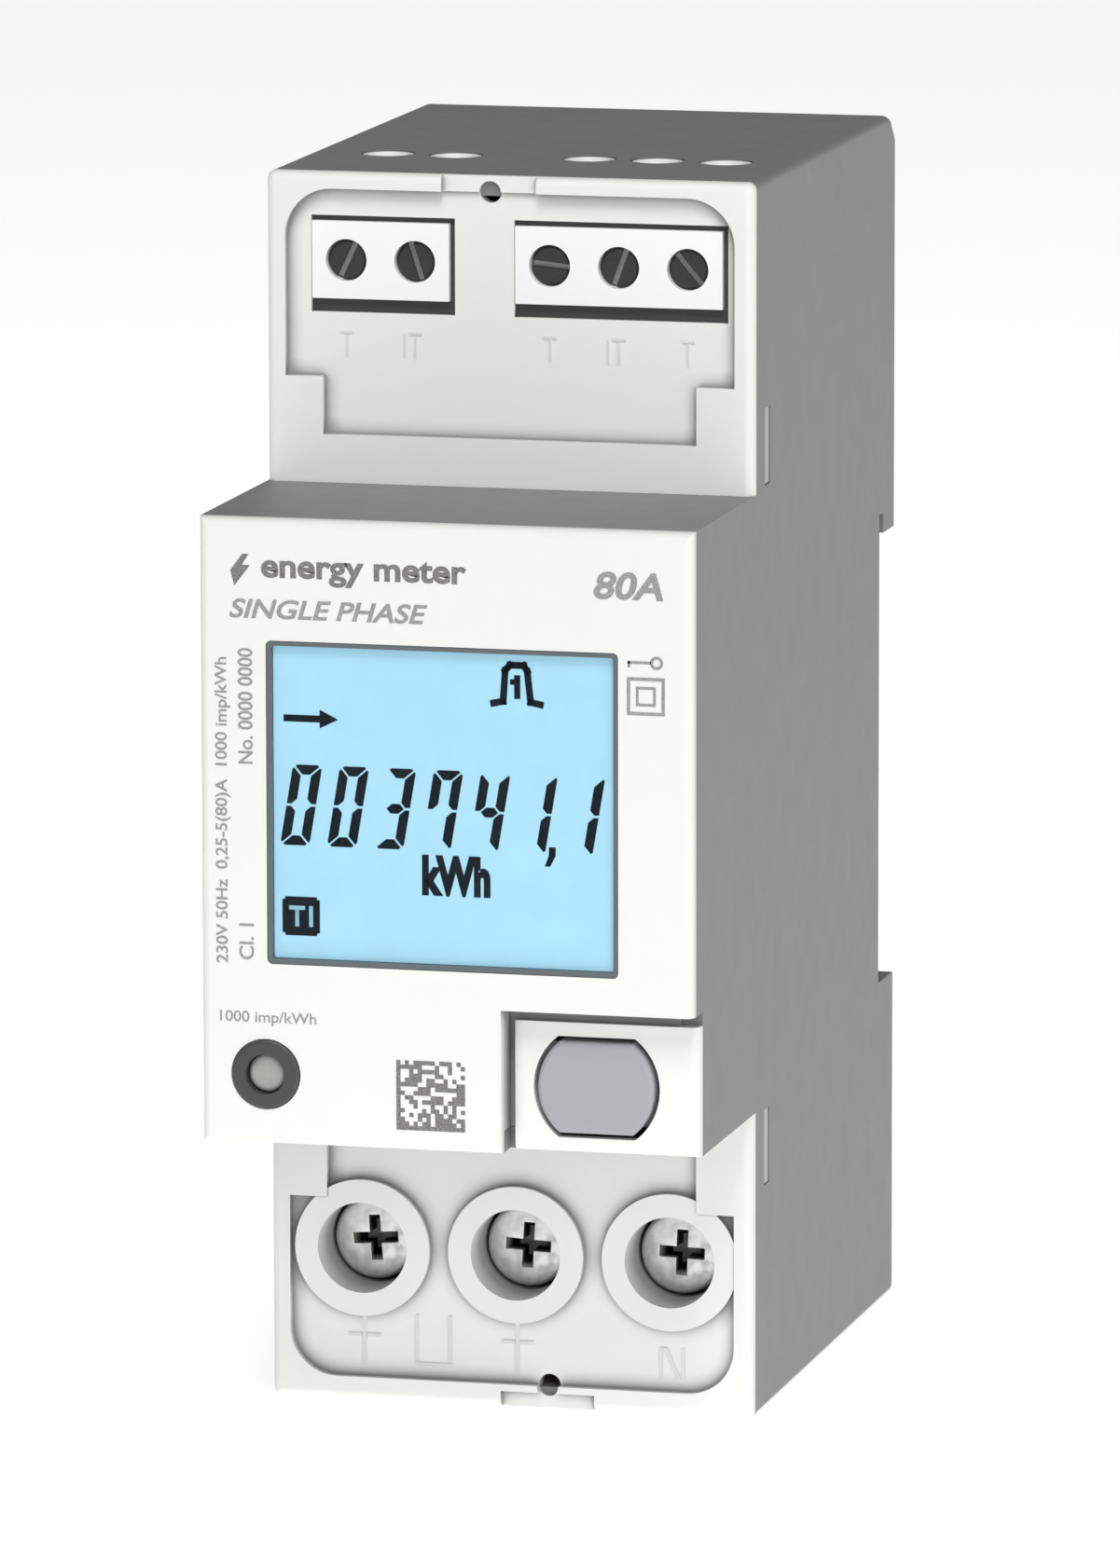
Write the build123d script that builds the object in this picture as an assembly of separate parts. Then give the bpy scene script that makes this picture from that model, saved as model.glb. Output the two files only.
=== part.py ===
from build123d import *
import os

# A two-module electricity meter for a 35 mm top-hat rail, in millimetres.
# It is drawn with x = 0 on the middle of its width, y = 0 on the shoulders' front face
# (the back is +Y) and z = 0 on its underside. Each piece is then moved so that the origin
# is the middle of the rail on the rail seat.

# Overall sizes
width = 36.0
height = 90.0
seat_depth = 41.5
lug_depth = 5.0
raise_depth = 18.5
raised_bottom = 22.5
raised_height = 45.0
rail_axis_height = 42.5

# The rail, and the hook and clip that hold it
rail_height = 35.0
rail_flange = 1.0
rail_gap = 0.3
hook_overlap = 1.2
clip_overlap = 1.3
clip_half_width = 7.0
clip_flange_reach = 1.4
clip_flange_thickness = 1.6
clip_bottom = 0.6
clip_back_inset = 0.2
clip_eye_above_bottom = 1.2
clip_nose_root = 1.0
channel_floor = 0.6
slide_gap = 0.15
spring_wire = 0.45
spring_radius = 1.3
spring_turns = 7
spring_floor_gap = 0.4
spring_end_gap = 0.02
spring_rib_inset = 0.3
spring_rib_below_back = 1.0
spring_rib_bottom = 6.0
spring_rib_height = 1.5
spring_slot_height = 13.0
spring_slot_half = 1.9
pull_slot_half_width = 2.5
pull_slot_height = 2.2
lug_pocket_depth = 3.5
lug_pocket_rib = 1.5
lug_pocket_margin = 3.0
lug_back_chamfer = 2.0

# Shell
wall = 1.5
seam = 0.9
edge_round = 0.7
corner_round = 0.6
fit_gap = 0.05
panel_thickness = 1.2
recess_depth = 0.8
recess_side = 1.4
recess_end = 1.2
lower_recess_end = 1.7
recess_corner = 3.5
recess_step_in = 2.8
upper_recess_above_block = 3.5
upper_step_above_block = 7.7
lower_step_below_block = 7.5
latch_width = 1.7
latch_back = 3.6
latch_height = 5.6
latch_arm = 1.5
latch_recess = 0.1
seal_hole_radius = 0.8
seal_tab_width = 7.0
seal_tab_depth = 0.5
upper_seal_x = -1.5
lower_seal_x = 2.7

# Main terminals
main_pitch = 11.5
main_centre_x = 0.3
main_screw_height = 11.3
rib_thickness = 2.1
cage_gap = 0.3
cage_side = 1.0
cage_front = 2.8
cage_back = 1.9
cage_height = 9.0
cage_travel = 5.2
wire_space = 5.6
well_radius = 3.35
collar_radius = 5.05
collar_height = 0.7
well_tube_wall = 0.95
well_gap = 0.2
head_radius = 3.1
head_depth = 4.0
head_thickness = 2.5
screw_crest_radius = 2.2
screw_thread_depth = 0.3
screw_pitch = 0.8
thread_gap = 0.05
drive_cross_width = 0.9
drive_cross_depth = 1.7
drive_cross_length = 4.6
main_head_turns = [-4, 3, 2]
busbar_thickness = 1.5
busbar_shoulder_height = 2.5
busbar_shoulder_reach = 0.25
busbar_shoulder_gap = 0.4
busbar_below_cage = 0.8
busbar_side_gap = 0.5
busbar_foot_half = 1.0
busbar_foot_height = 3.0
busbar_top = 29.5
shunt_thickness = 1.5
shunt_height = 5.0
shunt_neck = 2.2
shunt_pin_half = 0.4
entry_half_width = 3.9
entry_front_margin = 0.4
entry_corner = 1.5
partition_top = 21.0
partition_back = 33.0

# Auxiliary terminals
aux_pitch = 5.08
aux_two_pole_x = -9.66
aux_three_pole_x = 7.94
aux_screw_below_top = 6.4
aux_face_y = 0.6
aux_nose_half_height = 2.8
aux_nose_depth = 5.0
aux_body_below_screw = 4.2
aux_block_depth = 16.0
aux_top_gap = 0.1
aux_window_left = 0.1
aux_window_right = 0.4
aux_window_above = 0.4
aux_window_below = 1.0
aux_head_radius = 1.4
aux_head_sink = 0.4
aux_head_thickness = 1.2
aux_crest_radius = 0.95
aux_thread_depth = 0.15
aux_thread_pitch = 0.45
aux_slot_width = 0.45
aux_slot_depth = 0.5
aux_slot_turns = [-65, 72, 6, -70, 50]
aux_cage_half_width = 2.0
aux_cage_side = 0.5
aux_cage_front = 2.0
aux_cage_back = 0.8
aux_cage_height = 5.0
aux_cage_travel = 2.7
aux_cage_clearance = 0.1
aux_wire_space = 2.9
aux_strip_thickness = 0.6
aux_strip_half_width = 1.2
aux_strip_y = 10.5
aux_tip_clearance = 0.4
aux_entry_radius = 1.85
aux_collar_below_top = 0.1
aux_funnel_depth = 1.4
aux_funnel_rim = 0.2
aux_head_gap = 0.12
aux_head_room = 0.1
aux_strip_above_cage = 0.3
aux_strip_below_block = 1.2
aux_tail_drop = 3.4
aux_wire_radius = 1.3

# Display and keys in the raised block
panel_face = 1.5
window_left = -13.1
window_right = 12.56
window_bottom = 35.55
window_top = 58.8
window_corner = 0.4
bezel_width = 0.36
bezel_sink = 0.05
pane_sink = 0.1
pane_thickness = 0.4
pane_gap = 0.05
lcd_thickness = 2.0
lcd_side_margin = 1.1
lcd_bottom_margin = 0.95
lcd_top_margin = 2.8
lcd_front_gap = 0.1
holder_wall = 0.75
holder_ledge = 0.4
backlight_thickness = 3.3
backlight_gap = 0.1
strip_height = 2.0
display_board_front = 9.3
board_thickness = 1.2
board_edge_gap = 0.3
key_corner_left = 4.0
key_corner_top = 32.9
key_corner_set_back = 2.0
key_corner_wall = 0.8
key_groove_width = 0.55
key_groove_height = 1.0
key_groove_depth = 1.0
key_x = 10.5
key_height = 27.25
key_radius = 4.25
key_half_flat = 3.3
key_gap = 0.35
key_proud = 0.4
key_flange_reach = 1.0
key_flange_thickness = 1.0
key_stem_radius = 1.5
key_travel = 0.8
plunger_radius = 1.0
plunger_length = 1.4
switch_half = 3.0
switch_height = 2.4
led_side_inset = 3.26
led_height = 27.57
led_ring_radius = 2.5
led_ring_proud = 0.2
led_lens_radius = 1.4
led_flange_reach = 0.6
led_flange_thickness = 0.7
pulse_led_half = 1.4
pulse_led_height = 1.6
post_radius = 1.6
post_hole_radius = 0.8
post_inset = 2.9
post_top_inset = 1.7
lower_post_height = 28.5
lower_post_x = (-6.0, 2.0)
post_screw_head_radius = 1.5
post_screw_head_height = 1.2
post_screw_radius = 0.75
post_screw_length = 5.0

# Main board and what it carries
main_board_front = 20.5
main_board_thickness = 1.6
main_board_bottom = 25.5
main_board_below_top = 12.5
guide_depth = 1.2
guide_width = 1.2
pin_count = 6
pin_pitch = 2.54
pin_half = 0.32
pin_height = 62.0
carrier_front = 4.0
carrier_back = 14.0
carrier_margin = 1.0
pin_gap = 0.02
crystal_x = -9.0
crystal_height = 35.0
crystal_size = (10.2, 3.5, 4.2)
crystal_round = 1.8
can_x = 9.0
can_height = 50.0
can_radius = 5.0
can_round = 0.6
can_groove_above_board = 1.6
can_groove_width = 0.6
can_groove_depth = 0.3
storage_can_length = 6.5
smoothing_can_length = 15.0
optocoupler_x = (-9.0, 3.0)
optocoupler_height = 71.5
optocoupler_size = (6.4, 4.6, 3.4)
supply_side_gap = 1.5
supply_right = 3.0
supply_bottom = 29.0
supply_top = 37.5
supply_length = 14.5
supply_round = 0.8
varistor_x = 9.0
varistor_height = 34.0
varistor_radius = 5.0
varistor_thickness = 4.0
varistor_round = 0.9
varistor_stand_off = 7.0
varistor_lead_half = 0.4
varistor_lead_offset = 2.5
resistor_x = -10.0
resistor_height = 58.0
resistor_radius = 2.0
resistor_length = 9.0
resistor_round = 0.6
resistor_stand_off = 2.6
resistor_wire_radius = 0.35
resistor_wire_reach = 5.8

# Faces and lines that follow from the sizes above
raised_top = raised_bottom + raised_height
front = -raise_depth
half = width / 2
inner_half = half - wall
led_x = led_side_inset - inner_half
cavity_back = seat_depth - wall
lug_back = seat_depth + lug_depth
rail_top = rail_axis_height + rail_height / 2
rail_bottom = rail_axis_height - rail_height / 2
hook_depth = seat_depth + rail_flange + rail_gap
lug_underside = rail_top - hook_overlap
lower_lug_top = rail_bottom - rail_gap
panel_back = recess_depth + panel_thickness
main_x = [main_centre_x + i * main_pitch for i in (-1, 0, 1)]
main_names = ["line_in", "line_out", "neutral"]
cage_half = (main_pitch - rib_thickness) / 2 - cage_gap
cage_inner_half = cage_half - cage_side
head_back = head_depth + head_thickness
well_end = head_back + well_gap
cage_start = head_back + cage_travel + cage_gap + 0.2
busbar_front = cage_start + cage_front + 0.5
busbar_back = busbar_front + busbar_thickness
cage_inner_back = busbar_back + wire_space
busbar_half = cage_inner_half - busbar_side_gap
aux_z = height - aux_screw_below_top
aux_x = [aux_two_pole_x + i * aux_pitch for i in (-0.5, 0.5)]
aux_x += [aux_three_pole_x + i * aux_pitch for i in (-1, 0, 1)]
aux_block_top = height - wall - aux_top_gap
aux_block_bottom = aux_z - aux_body_below_screw
aux_head_back = aux_face_y + aux_head_sink + aux_head_thickness
aux_wire_y = aux_strip_y + aux_strip_thickness + aux_wire_space / 2
board_front = -display_board_front
board_back = board_front + board_thickness
main_board_back = main_board_front + main_board_thickness
main_board_top = height - main_board_below_top
key_face = front + key_corner_set_back
key_plate_back = key_face + panel_face
pane_back = front + pane_sink + pane_thickness
lcd_front = front + panel_face + lcd_front_gap
lcd_back = lcd_front + lcd_thickness
lcd_left = window_left - lcd_side_margin
lcd_right = window_right + lcd_side_margin
lcd_bottom = window_bottom - lcd_bottom_margin
lcd_top = window_top + lcd_top_margin
aux_cage_start = aux_strip_y - aux_tip_clearance - aux_cage_front
aux_cage_inner_back = aux_strip_y + aux_strip_thickness + aux_wire_space
aux_cage_end = aux_cage_inner_back + aux_cage_back
aux_block_sides = [
    (aux_two_pole_x - aux_pitch, aux_two_pole_x + aux_pitch),
    (aux_three_pole_x - 1.5 * aux_pitch, aux_three_pole_x + 1.5 * aux_pitch),
]
post_places = [(side * (inner_half - post_inset), raised_top - wall - post_top_inset) for side in (-1, 1)]
post_places += [(x, lower_post_height) for x in lower_post_x]
switch_front = board_front - switch_height
plunger_front = switch_front - key_travel
clip_floor = seat_depth + channel_floor + slide_gap
clip_back = lug_back - clip_back_inset
clip_flange_back = clip_floor + clip_flange_thickness
slot_bottom = spring_rib_bottom - slide_gap
slot_top = slot_bottom + spring_slot_height
spring_y = seat_depth + channel_floor + spring_floor_gap + spring_radius + spring_wire / 2

to_rail = Pos(0, -seat_depth, -rail_axis_height)


def block(x0, x1, y0, y1, z0, z1):
    return Pos((x0 + x1) / 2, (y0 + y1) / 2, (z0 + z1) / 2) * Box(x1 - x0, y1 - y0, z1 - z0)


def rod(radius, x, z, y0, y1):
    return Pos(x, (y0 + y1) / 2, z) * Rot(90, 0, 0) * Cylinder(radius, y1 - y0)


def prism(outline, y0, y1):
    """Extrude an outline drawn in x and z from y0 back to y1."""
    plane = Plane(origin=(0, y1, 0), x_dir=(1, 0, 0), z_dir=(0, -1, 0))
    return extrude(plane * outline, amount=y1 - y0)


def rectangle(x0, x1, z0, z1):
    return Pos((x0 + x1) / 2, (z0 + z1) / 2) * Rectangle(x1 - x0, z1 - z0)


def rounded(x0, x1, z0, z1, radius):
    return Pos((x0 + x1) / 2, (z0 + z1) / 2) * RectangleRounded(x1 - x0, z1 - z0, radius)


def threaded_rod(x, z, y0, y1, crest, depth, pitch):
    """A shank with ring-shaped threads, so that it turns without meeting its nut."""
    turns = int((y1 - y0) / pitch)
    points = [(0, y0), (crest - depth, y0)]
    for i in range(turns):
        points.append((crest, y0 + (i + 0.5) * pitch))
        points.append((crest - depth, y0 + (i + 1) * pitch))
    points += [(crest - depth, y1), (0, y1)]
    shank = revolve(make_face(Polyline(*points, close=True)), axis=Axis.Y)
    return Pos(x, 0, z) * shank


def write(node, *solids):
    placed = [to_rail * solid for solid in solids]
    shape = Compound(children=placed) if len(placed) > 1 else placed[0]
    export_step(shape, f"parts/{node}.step")


# Clamp cages and screws


def clamp_screw(x, z, face, radius, thickness, crest, depth, pitch, tip, slots):
    """A screw with its head's face at y = face and its tip at y = tip."""
    head = rod(radius, x, z, face, face + thickness)
    head = chamfer(head.edges().sort_by(Axis.Y)[0], thickness * 0.12)
    screw = head + threaded_rod(x, z, face + thickness, tip, crest, depth, pitch)
    for length, slot_width, slot_depth, turn in slots:
        slot = Box(length, slot_depth * 2, slot_width)
        screw -= Pos(x, face, z) * Rot(0, turn, 0) * slot
    return screw


def clamp_cage(x, z, y0, half_width, side, front_wall, y_inner_back, back_wall, tall, hole):
    """A square tube standing along z, with the screw's hole in its front wall."""
    y1 = y_inner_back + back_wall
    cage = block(x - half_width, x + half_width, y0, y1, z - tall / 2, z + tall / 2)
    cage = fillet(cage.edges().filter_by(Axis.Z), side * 0.5)
    inner = half_width - side
    cage -= block(x - inner, x + inner, y0 + front_wall, y_inner_back, z - tall, z + tall)
    return cage - rod(hole, x, z, y0 - 1, y0 + front_wall + 1)


def main_screw(i):
    turns = (main_head_turns[i], main_head_turns[i] + 90)
    slots = [(drive_cross_length, drive_cross_width, drive_cross_depth, turn) for turn in turns]
    return clamp_screw(
        main_x[i], main_screw_height, head_depth, head_radius, head_thickness,
        screw_crest_radius, screw_thread_depth, screw_pitch, busbar_front - thread_gap, slots,
    )


def main_cage(i):
    return clamp_cage(
        main_x[i], main_screw_height, cage_start, cage_half, cage_side, cage_front,
        cage_inner_back, cage_back, cage_height, screw_crest_radius + thread_gap,
    )


def aux_screw(i):
    face = aux_face_y + aux_head_sink
    slots = [(aux_head_radius * 2 + 1, aux_slot_width, aux_slot_depth, aux_slot_turns[i])]
    return clamp_screw(
        aux_x[i], aux_z, face, aux_head_radius, aux_head_thickness, aux_crest_radius,
        aux_thread_depth, aux_thread_pitch, aux_strip_y - thread_gap, slots,
    )


def aux_cage(i):
    return clamp_cage(
        aux_x[i], aux_z, aux_cage_start, aux_cage_half_width, aux_cage_side, aux_cage_front,
        aux_cage_inner_back, aux_cage_back, aux_cage_height, aux_crest_radius + thread_gap,
    )


# Shell


def busbar_shoulder(i, grow):
    reach = cage_half + cage_gap + busbar_shoulder_reach + grow
    low = main_screw_height + cage_height / 2 + busbar_shoulder_gap
    return block(
        main_x[i] - reach, main_x[i] + reach, busbar_front - grow, busbar_back + grow,
        low - grow, low + busbar_shoulder_height + grow,
    )


def latch_span(z_side):
    """Lowest and highest z of the latch windows beside the raised block's top or bottom."""
    if z_side > 0:
        return raised_top + 0.3, raised_top + 0.3 + latch_height
    return raised_bottom - 0.3 - latch_height, raised_bottom - 0.3


def rear_housing():
    body = block(-half, half, seam, seat_depth, 0, height)
    body += block(-half, half, seat_depth - wall, lug_back, lug_underside, height)
    body += block(-half, half, seat_depth - wall, lug_back, 0, lower_lug_top)
    top_back = body.edges().filter_by(Axis.X).filter_by_position(Axis.Z, height - 0.1, height + 0.1)
    body = chamfer(top_back.sort_by(Axis.Y)[-1], lug_back_chamfer)
    outer = body.edges().filter_by(Axis.Y).filter_by(lambda e: abs(abs(e.center().X) - half) < 0.01)
    outer = outer.filter_by(lambda e: e.center().Z < 0.1 or e.center().Z > height - 0.1)
    body = fillet(outer, corner_round)
    body += block(-half, half, front + seam, seam, raised_bottom, raised_top)

    body -= block(-inner_half, inner_half, seam - 1, cavity_back, wall, height - wall)
    body -= block(-inner_half, inner_half, front, seam + 1, raised_bottom + wall, raised_top - wall)
    body -= block(key_corner_left, half + 1, front, key_face + seam, 0, key_corner_top)
    key_room = key_radius + 2 * key_gap
    key_relief = key_height - key_half_flat - key_gap - 0.2
    body -= block(key_x - key_room, key_x + key_room, front, board_front, key_relief, key_height)
    body -= block(-half - 1, half + 1, seat_depth, hook_depth, lug_underside - 1, rail_top + rail_gap)

    for i in (0, 1):
        mid = (main_x[i] + main_x[i + 1]) / 2
        rib = rib_thickness / 2
        body += block(mid - rib, mid + rib, panel_back + 0.3, partition_back, wall, partition_top)
    for i in range(3):
        body -= busbar_shoulder(i, fit_gap)
        x = main_x[i]
        tube = well_radius + well_tube_wall + well_gap
        body -= rod(tube, x, main_screw_height, panel_back, well_end + well_gap)
        y0 = busbar_front - entry_front_margin
        y1 = cage_inner_back + cage_back - entry_front_margin
        hole = Pos(x, (y0 + y1) / 2) * RectangleRounded(2 * entry_half_width, y1 - y0, entry_corner)
        body -= extrude(Pos(0, 0, -1) * hole, amount=wall + 2)
    for x in aux_x:
        body -= Pos(x, aux_wire_y, height) * Cylinder(aux_entry_radius + 0.15, 4 * wall)

    for side in (-1, 1):
        for y0 in (main_board_front - fit_gap - guide_width, main_board_back + fit_gap):
            x0, x1 = sorted((side * (inner_half - guide_depth), side * (inner_half + 0.1)))
            body += block(x0, x1, y0, y0 + guide_width, main_board_bottom, main_board_top)
        for z_side in (-1, 1):
            z0, z1 = latch_span(z_side)
            x0, x1 = sorted((side * (inner_half - 1), side * (half + 1)))
            body -= block(x0, x1, latch_back, latch_back + latch_width, z0, z1)

    pocket_x = (width - 2 * lug_pocket_margin - 2 * lug_pocket_rib) / 3
    for i in range(3):
        x0 = -half + lug_pocket_margin + i * (pocket_x + lug_pocket_rib)
        y0 = lug_back - lug_pocket_depth
        low, high = rail_top + 5, height - lug_back_chamfer - lug_pocket_margin
        body -= block(x0, x0 + pocket_x, y0, lug_back + 1, low, high)

    floor = seat_depth + channel_floor
    outer_half = clip_half_width + slide_gap
    body -= block(-outer_half, outer_half, floor, lug_back + 1, -1, lower_lug_top + 1)
    groove = outer_half + clip_flange_reach
    groove_back = floor + clip_flange_thickness + 2 * slide_gap
    body -= block(-groove, groove, floor, groove_back, -1, lower_lug_top + 1)
    rib_x = spring_slot_half - spring_rib_inset
    rib_back = lug_back - spring_rib_below_back
    rib_top = spring_rib_bottom + spring_rib_height
    body += block(-rib_x, rib_x, floor - 0.1, rib_back, spring_rib_bottom, rib_top)
    return body


def latch_arms(z_side, z_low, z_high):
    """Arms behind a terminal panel whose tips show in the housing's latch windows."""
    z0, z1 = latch_span(z_side)
    arms = []
    for side in (-1, 1):
        x0, x1 = sorted((side * (inner_half - fit_gap), side * (inner_half - fit_gap - latch_arm)))
        arm_back = latch_back + latch_width
        arms.append(block(x0, x1, panel_back - 0.5, arm_back, max(z0, z_low), min(z1, z_high)))
        x0, x1 = sorted((side * (inner_half - 0.5), side * (half - latch_recess)))
        tip = block(x0, x1, latch_back + fit_gap, arm_back - fit_gap, z0 + fit_gap, z1 - fit_gap)
        arms.append(tip)
    return arms


def shoulder_plate(z0, z1, outer_end):
    """A plate as wide as the housing, with a plug inside it. outer_end is the end with rounded edges."""
    plate = block(-half, half, 0, seam, z0, z1)
    corners = plate.edges().filter_by(Axis.Y).filter_by_position(Axis.Z, outer_end - 0.01, outer_end + 0.01)
    plate = fillet(corners, corner_round)
    edges = plate.edges().filter_by_position(Axis.Y, -0.01, 0.01)
    inner_end = z0 if outer_end == z1 else z1
    plate = fillet(edges.filter_by(lambda e: abs(e.center().Z - inner_end) > 0.01), edge_round)
    plug_low = max(z0, wall + fit_gap)
    plug_high = min(z1, height - wall - fit_gap)
    plug_half = inner_half - fit_gap
    return plate + block(-plug_half, plug_half, seam - 0.1, panel_back, plug_low, plug_high)


def seal_cut(x, z_edge, side, from_edge):
    """A shallow step in the rim and a hole for a sealing wire. side is +1 at the top."""
    z0, z1 = sorted((z_edge - side * recess_end, z_edge + side))
    tab = block(x - seal_tab_width / 2, x + seal_tab_width / 2, -1, seal_tab_depth, z0, z1)
    return tab + rod(seal_hole_radius, x, z_edge - side * from_edge, -1, panel_back + 1)


def upper_terminal_panel():
    panel = shoulder_plate(raised_top, height, height)
    step = raised_top + upper_step_above_block
    recess_half = half - recess_side
    wide = rectangle(-recess_half, recess_half, step, height - recess_end)
    wide = fillet(wide.vertices().group_by(Axis.Y)[-1], recess_corner)
    narrow_half = recess_half - recess_step_in
    narrow = rectangle(-narrow_half, narrow_half, raised_top + upper_recess_above_block, step + 1)
    panel -= prism(wide + narrow, -1, recess_depth)
    for x0, x1 in aux_block_sides:
        z0 = aux_z - aux_nose_half_height - aux_window_below
        z1 = aux_z + aux_nose_half_height + aux_window_above
        right = min(x1 + aux_window_right, recess_half)
        panel -= block(x0 - aux_window_left, right, -1, panel_back + 1, z0, z1)
    panel -= seal_cut(upper_seal_x, height, 1, recess_end)
    for arm in latch_arms(1, raised_top, height):
        panel += arm
    return panel


def lower_terminal_panel():
    panel = shoulder_plate(0, raised_bottom, 0)
    step = raised_bottom - lower_step_below_block
    recess_half = half - recess_side
    wide = rectangle(-recess_half, recess_half, lower_recess_end, step)
    wide = fillet(wide.vertices().group_by(Axis.Y)[0], recess_corner)
    narrow_half = recess_half - recess_step_in
    narrow = rectangle(-narrow_half, narrow_half, step - 1, raised_bottom + 1)
    panel -= prism(wide + narrow, -1, recess_depth)
    plug_half = inner_half - fit_gap
    limit = block(-recess_half - 0.3, recess_half + 0.3, -1, seam, 0, raised_bottom)
    limit += block(-plug_half, plug_half, seam, panel_back, 0, raised_bottom)
    for x in main_x:
        collar = rod(collar_radius, x, main_screw_height, recess_depth - collar_height, panel_back)
        panel += collar & limit
        tube = well_radius + well_tube_wall
        panel += rod(tube, x, main_screw_height, panel_back - 0.2, well_end)
    for x in main_x:
        panel -= rod(well_radius, x, main_screw_height, -1, well_end + 1)
    panel -= seal_cut(lower_seal_x, 0, -1, lower_recess_end)
    for arm in latch_arms(-1, 0, raised_bottom):
        panel += arm
    return panel


def key_outline(grow, flat_grow):
    """A disc with its top and bottom cut flat."""
    round_part = Pos(key_x, key_height) * Circle(key_radius + grow)
    flat = key_half_flat + flat_grow
    reach = key_radius + grow + 1
    return round_part & rectangle(key_x - reach, key_x + reach, key_height - flat, key_height + flat)


def rim_round(plate, y_face, skip):
    """Round the front edges of a plate, except the ones that skip picks out."""
    edges = plate.edges().filter_by_position(Axis.Y, y_face - 0.01, y_face + 0.01)
    return fillet(edges.filter_by(lambda e: not skip(e.center())), edge_round)


def front_panel():
    plug_half = inner_half - fit_gap
    plug_bottom = raised_bottom + wall + fit_gap
    plug_top = raised_top - wall - fit_gap
    face_back = front + panel_face
    plate = block(-half, half, front, front + seam, raised_bottom, raised_top)
    plate = rim_round(plate, front, lambda c: False)
    plate += block(-plug_half, plug_half, front + seam - 0.1, face_back, plug_bottom, plug_top)
    plate -= block(key_corner_left, half + 1, front - 1, face_back + 1, 0, key_corner_top)

    corner = block(key_corner_left, half, key_face, key_face + seam, raised_bottom, key_corner_top)
    corner = rim_round(corner, key_face, lambda c: c.X < half - 0.01 and c.Z > raised_bottom + 0.01)
    left = key_corner_left - key_corner_wall
    top = key_corner_top + key_corner_wall
    corner += block(left, plug_half, key_face + seam - 0.1, key_plate_back, plug_bottom, top)
    corner += block(left, key_corner_left, face_back - 0.1, key_plate_back, plug_bottom, top)
    corner += block(left, plug_half, face_back - 0.1, key_plate_back, key_corner_top, top)
    groove_right = key_corner_left + key_groove_width
    groove_low = key_corner_top - key_groove_height
    groove_back = key_face + key_groove_depth
    panel = plate + corner
    panel -= block(key_corner_left, groove_right, key_face - 1, groove_back, 0, key_corner_top)
    panel -= block(key_corner_left, half + 1, key_face - 1, groove_back, groove_low, key_corner_top)
    panel -= prism(key_outline(key_gap, key_gap), front - 1, key_plate_back + 1)

    opening = rounded(window_left, window_right, window_bottom, window_top, window_corner)
    panel -= prism(opening, front - 1, face_back + 1)
    panel -= rod(led_ring_radius + fit_gap, led_x, led_height, front - 1, face_back + 1)
    for x, z in post_places:
        panel += rod(post_radius, x, z, face_back - 0.2, board_front)
        panel -= rod(post_hole_radius, x, z, board_front - post_screw_length - 1, board_front + 1)
    return panel


# Display


def window_ring(inset):
    radius = window_corner - inset * 0.6
    return rounded(
        window_left + inset, window_right - inset, window_bottom + inset, window_top - inset, radius
    )


def display_bezel():
    ring = prism(window_ring(fit_gap), front + bezel_sink, front + panel_face)
    return ring - prism(window_ring(bezel_width), front - 1, front + panel_face + 1)


def display_window():
    return prism(window_ring(bezel_width + fit_gap), front + pane_sink, pane_back)


def lcd_glass():
    """Two glass plates and, in the window's opening, the polariser stack that is read through the pane."""
    step = 1.6
    middle = lcd_front + lcd_thickness / 2
    glass = prism(window_ring(bezel_width + fit_gap), pane_back + pane_gap, lcd_front + 0.1)
    glass += block(lcd_left, lcd_right, lcd_front, middle, lcd_bottom, lcd_top - step)
    return glass + block(lcd_left, lcd_right, middle, lcd_back, lcd_bottom, lcd_top)


def lcd_holder():
    wall_out = holder_wall
    low = key_corner_top + key_corner_wall + fit_gap
    face_back = front + panel_face
    left, right = lcd_left - wall_out, lcd_right + wall_out
    holder = block(left, right, face_back, board_front, low, lcd_top + wall_out)
    left, right = lcd_left - fit_gap, lcd_right + fit_gap
    holder -= block(left, right, face_back - 1, lcd_back, lcd_bottom - fit_gap, lcd_top + fit_gap)
    left, right = lcd_left + holder_ledge, lcd_right - holder_ledge
    return holder - block(left, right, lcd_front, board_front + 1, lcd_bottom + holder_ledge, lcd_top)


def lcd_backlight():
    inset = holder_ledge + backlight_gap
    top = lcd_top - strip_height - 2 * backlight_gap
    guide = block(
        lcd_left + inset, lcd_right - inset, lcd_back + backlight_gap,
        lcd_back + backlight_gap + backlight_thickness, lcd_bottom + inset, top,
    )
    feet = [block(x, x + 2, lcd_back + backlight_thickness, board_front, lcd_bottom + inset, lcd_bottom + 3)
            for x in (lcd_left + inset, lcd_right - inset - 2)]
    return guide + feet[0] + feet[1]


def contact_strip():
    inset = holder_ledge + 2 * backlight_gap
    low = lcd_top - strip_height
    strip = block(lcd_left + inset, lcd_right - inset, lcd_back, board_front, low, lcd_top - backlight_gap)
    return fillet(strip.edges().filter_by(Axis.X), 0.3)


def display_board():
    edge = inner_half - board_edge_gap
    low = raised_bottom + wall + board_edge_gap
    high = raised_top - wall - board_edge_gap
    board = block(-edge, edge, board_front, board_back, low, high)
    for x, z in post_places:
        board -= rod(post_screw_radius + 0.2, x, z, board_front - 1, board_back + 1)
    return board


def board_screws():
    screws = []
    for x, z in post_places:
        screw = rod(post_screw_head_radius, x, z, board_back, board_back + post_screw_head_height)
        screw = fillet(screw.edges().sort_by(Axis.Y)[-1], 0.4)
        screw += rod(post_screw_radius, x, z, board_front - post_screw_length, board_back)
        cross = Box(1.8, 1.0, 0.4)
        centre = Pos(x, board_back + post_screw_head_height, z)
        screws.append(screw - centre * cross - centre * Rot(0, 90, 0) * cross)
    return screws


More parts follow.
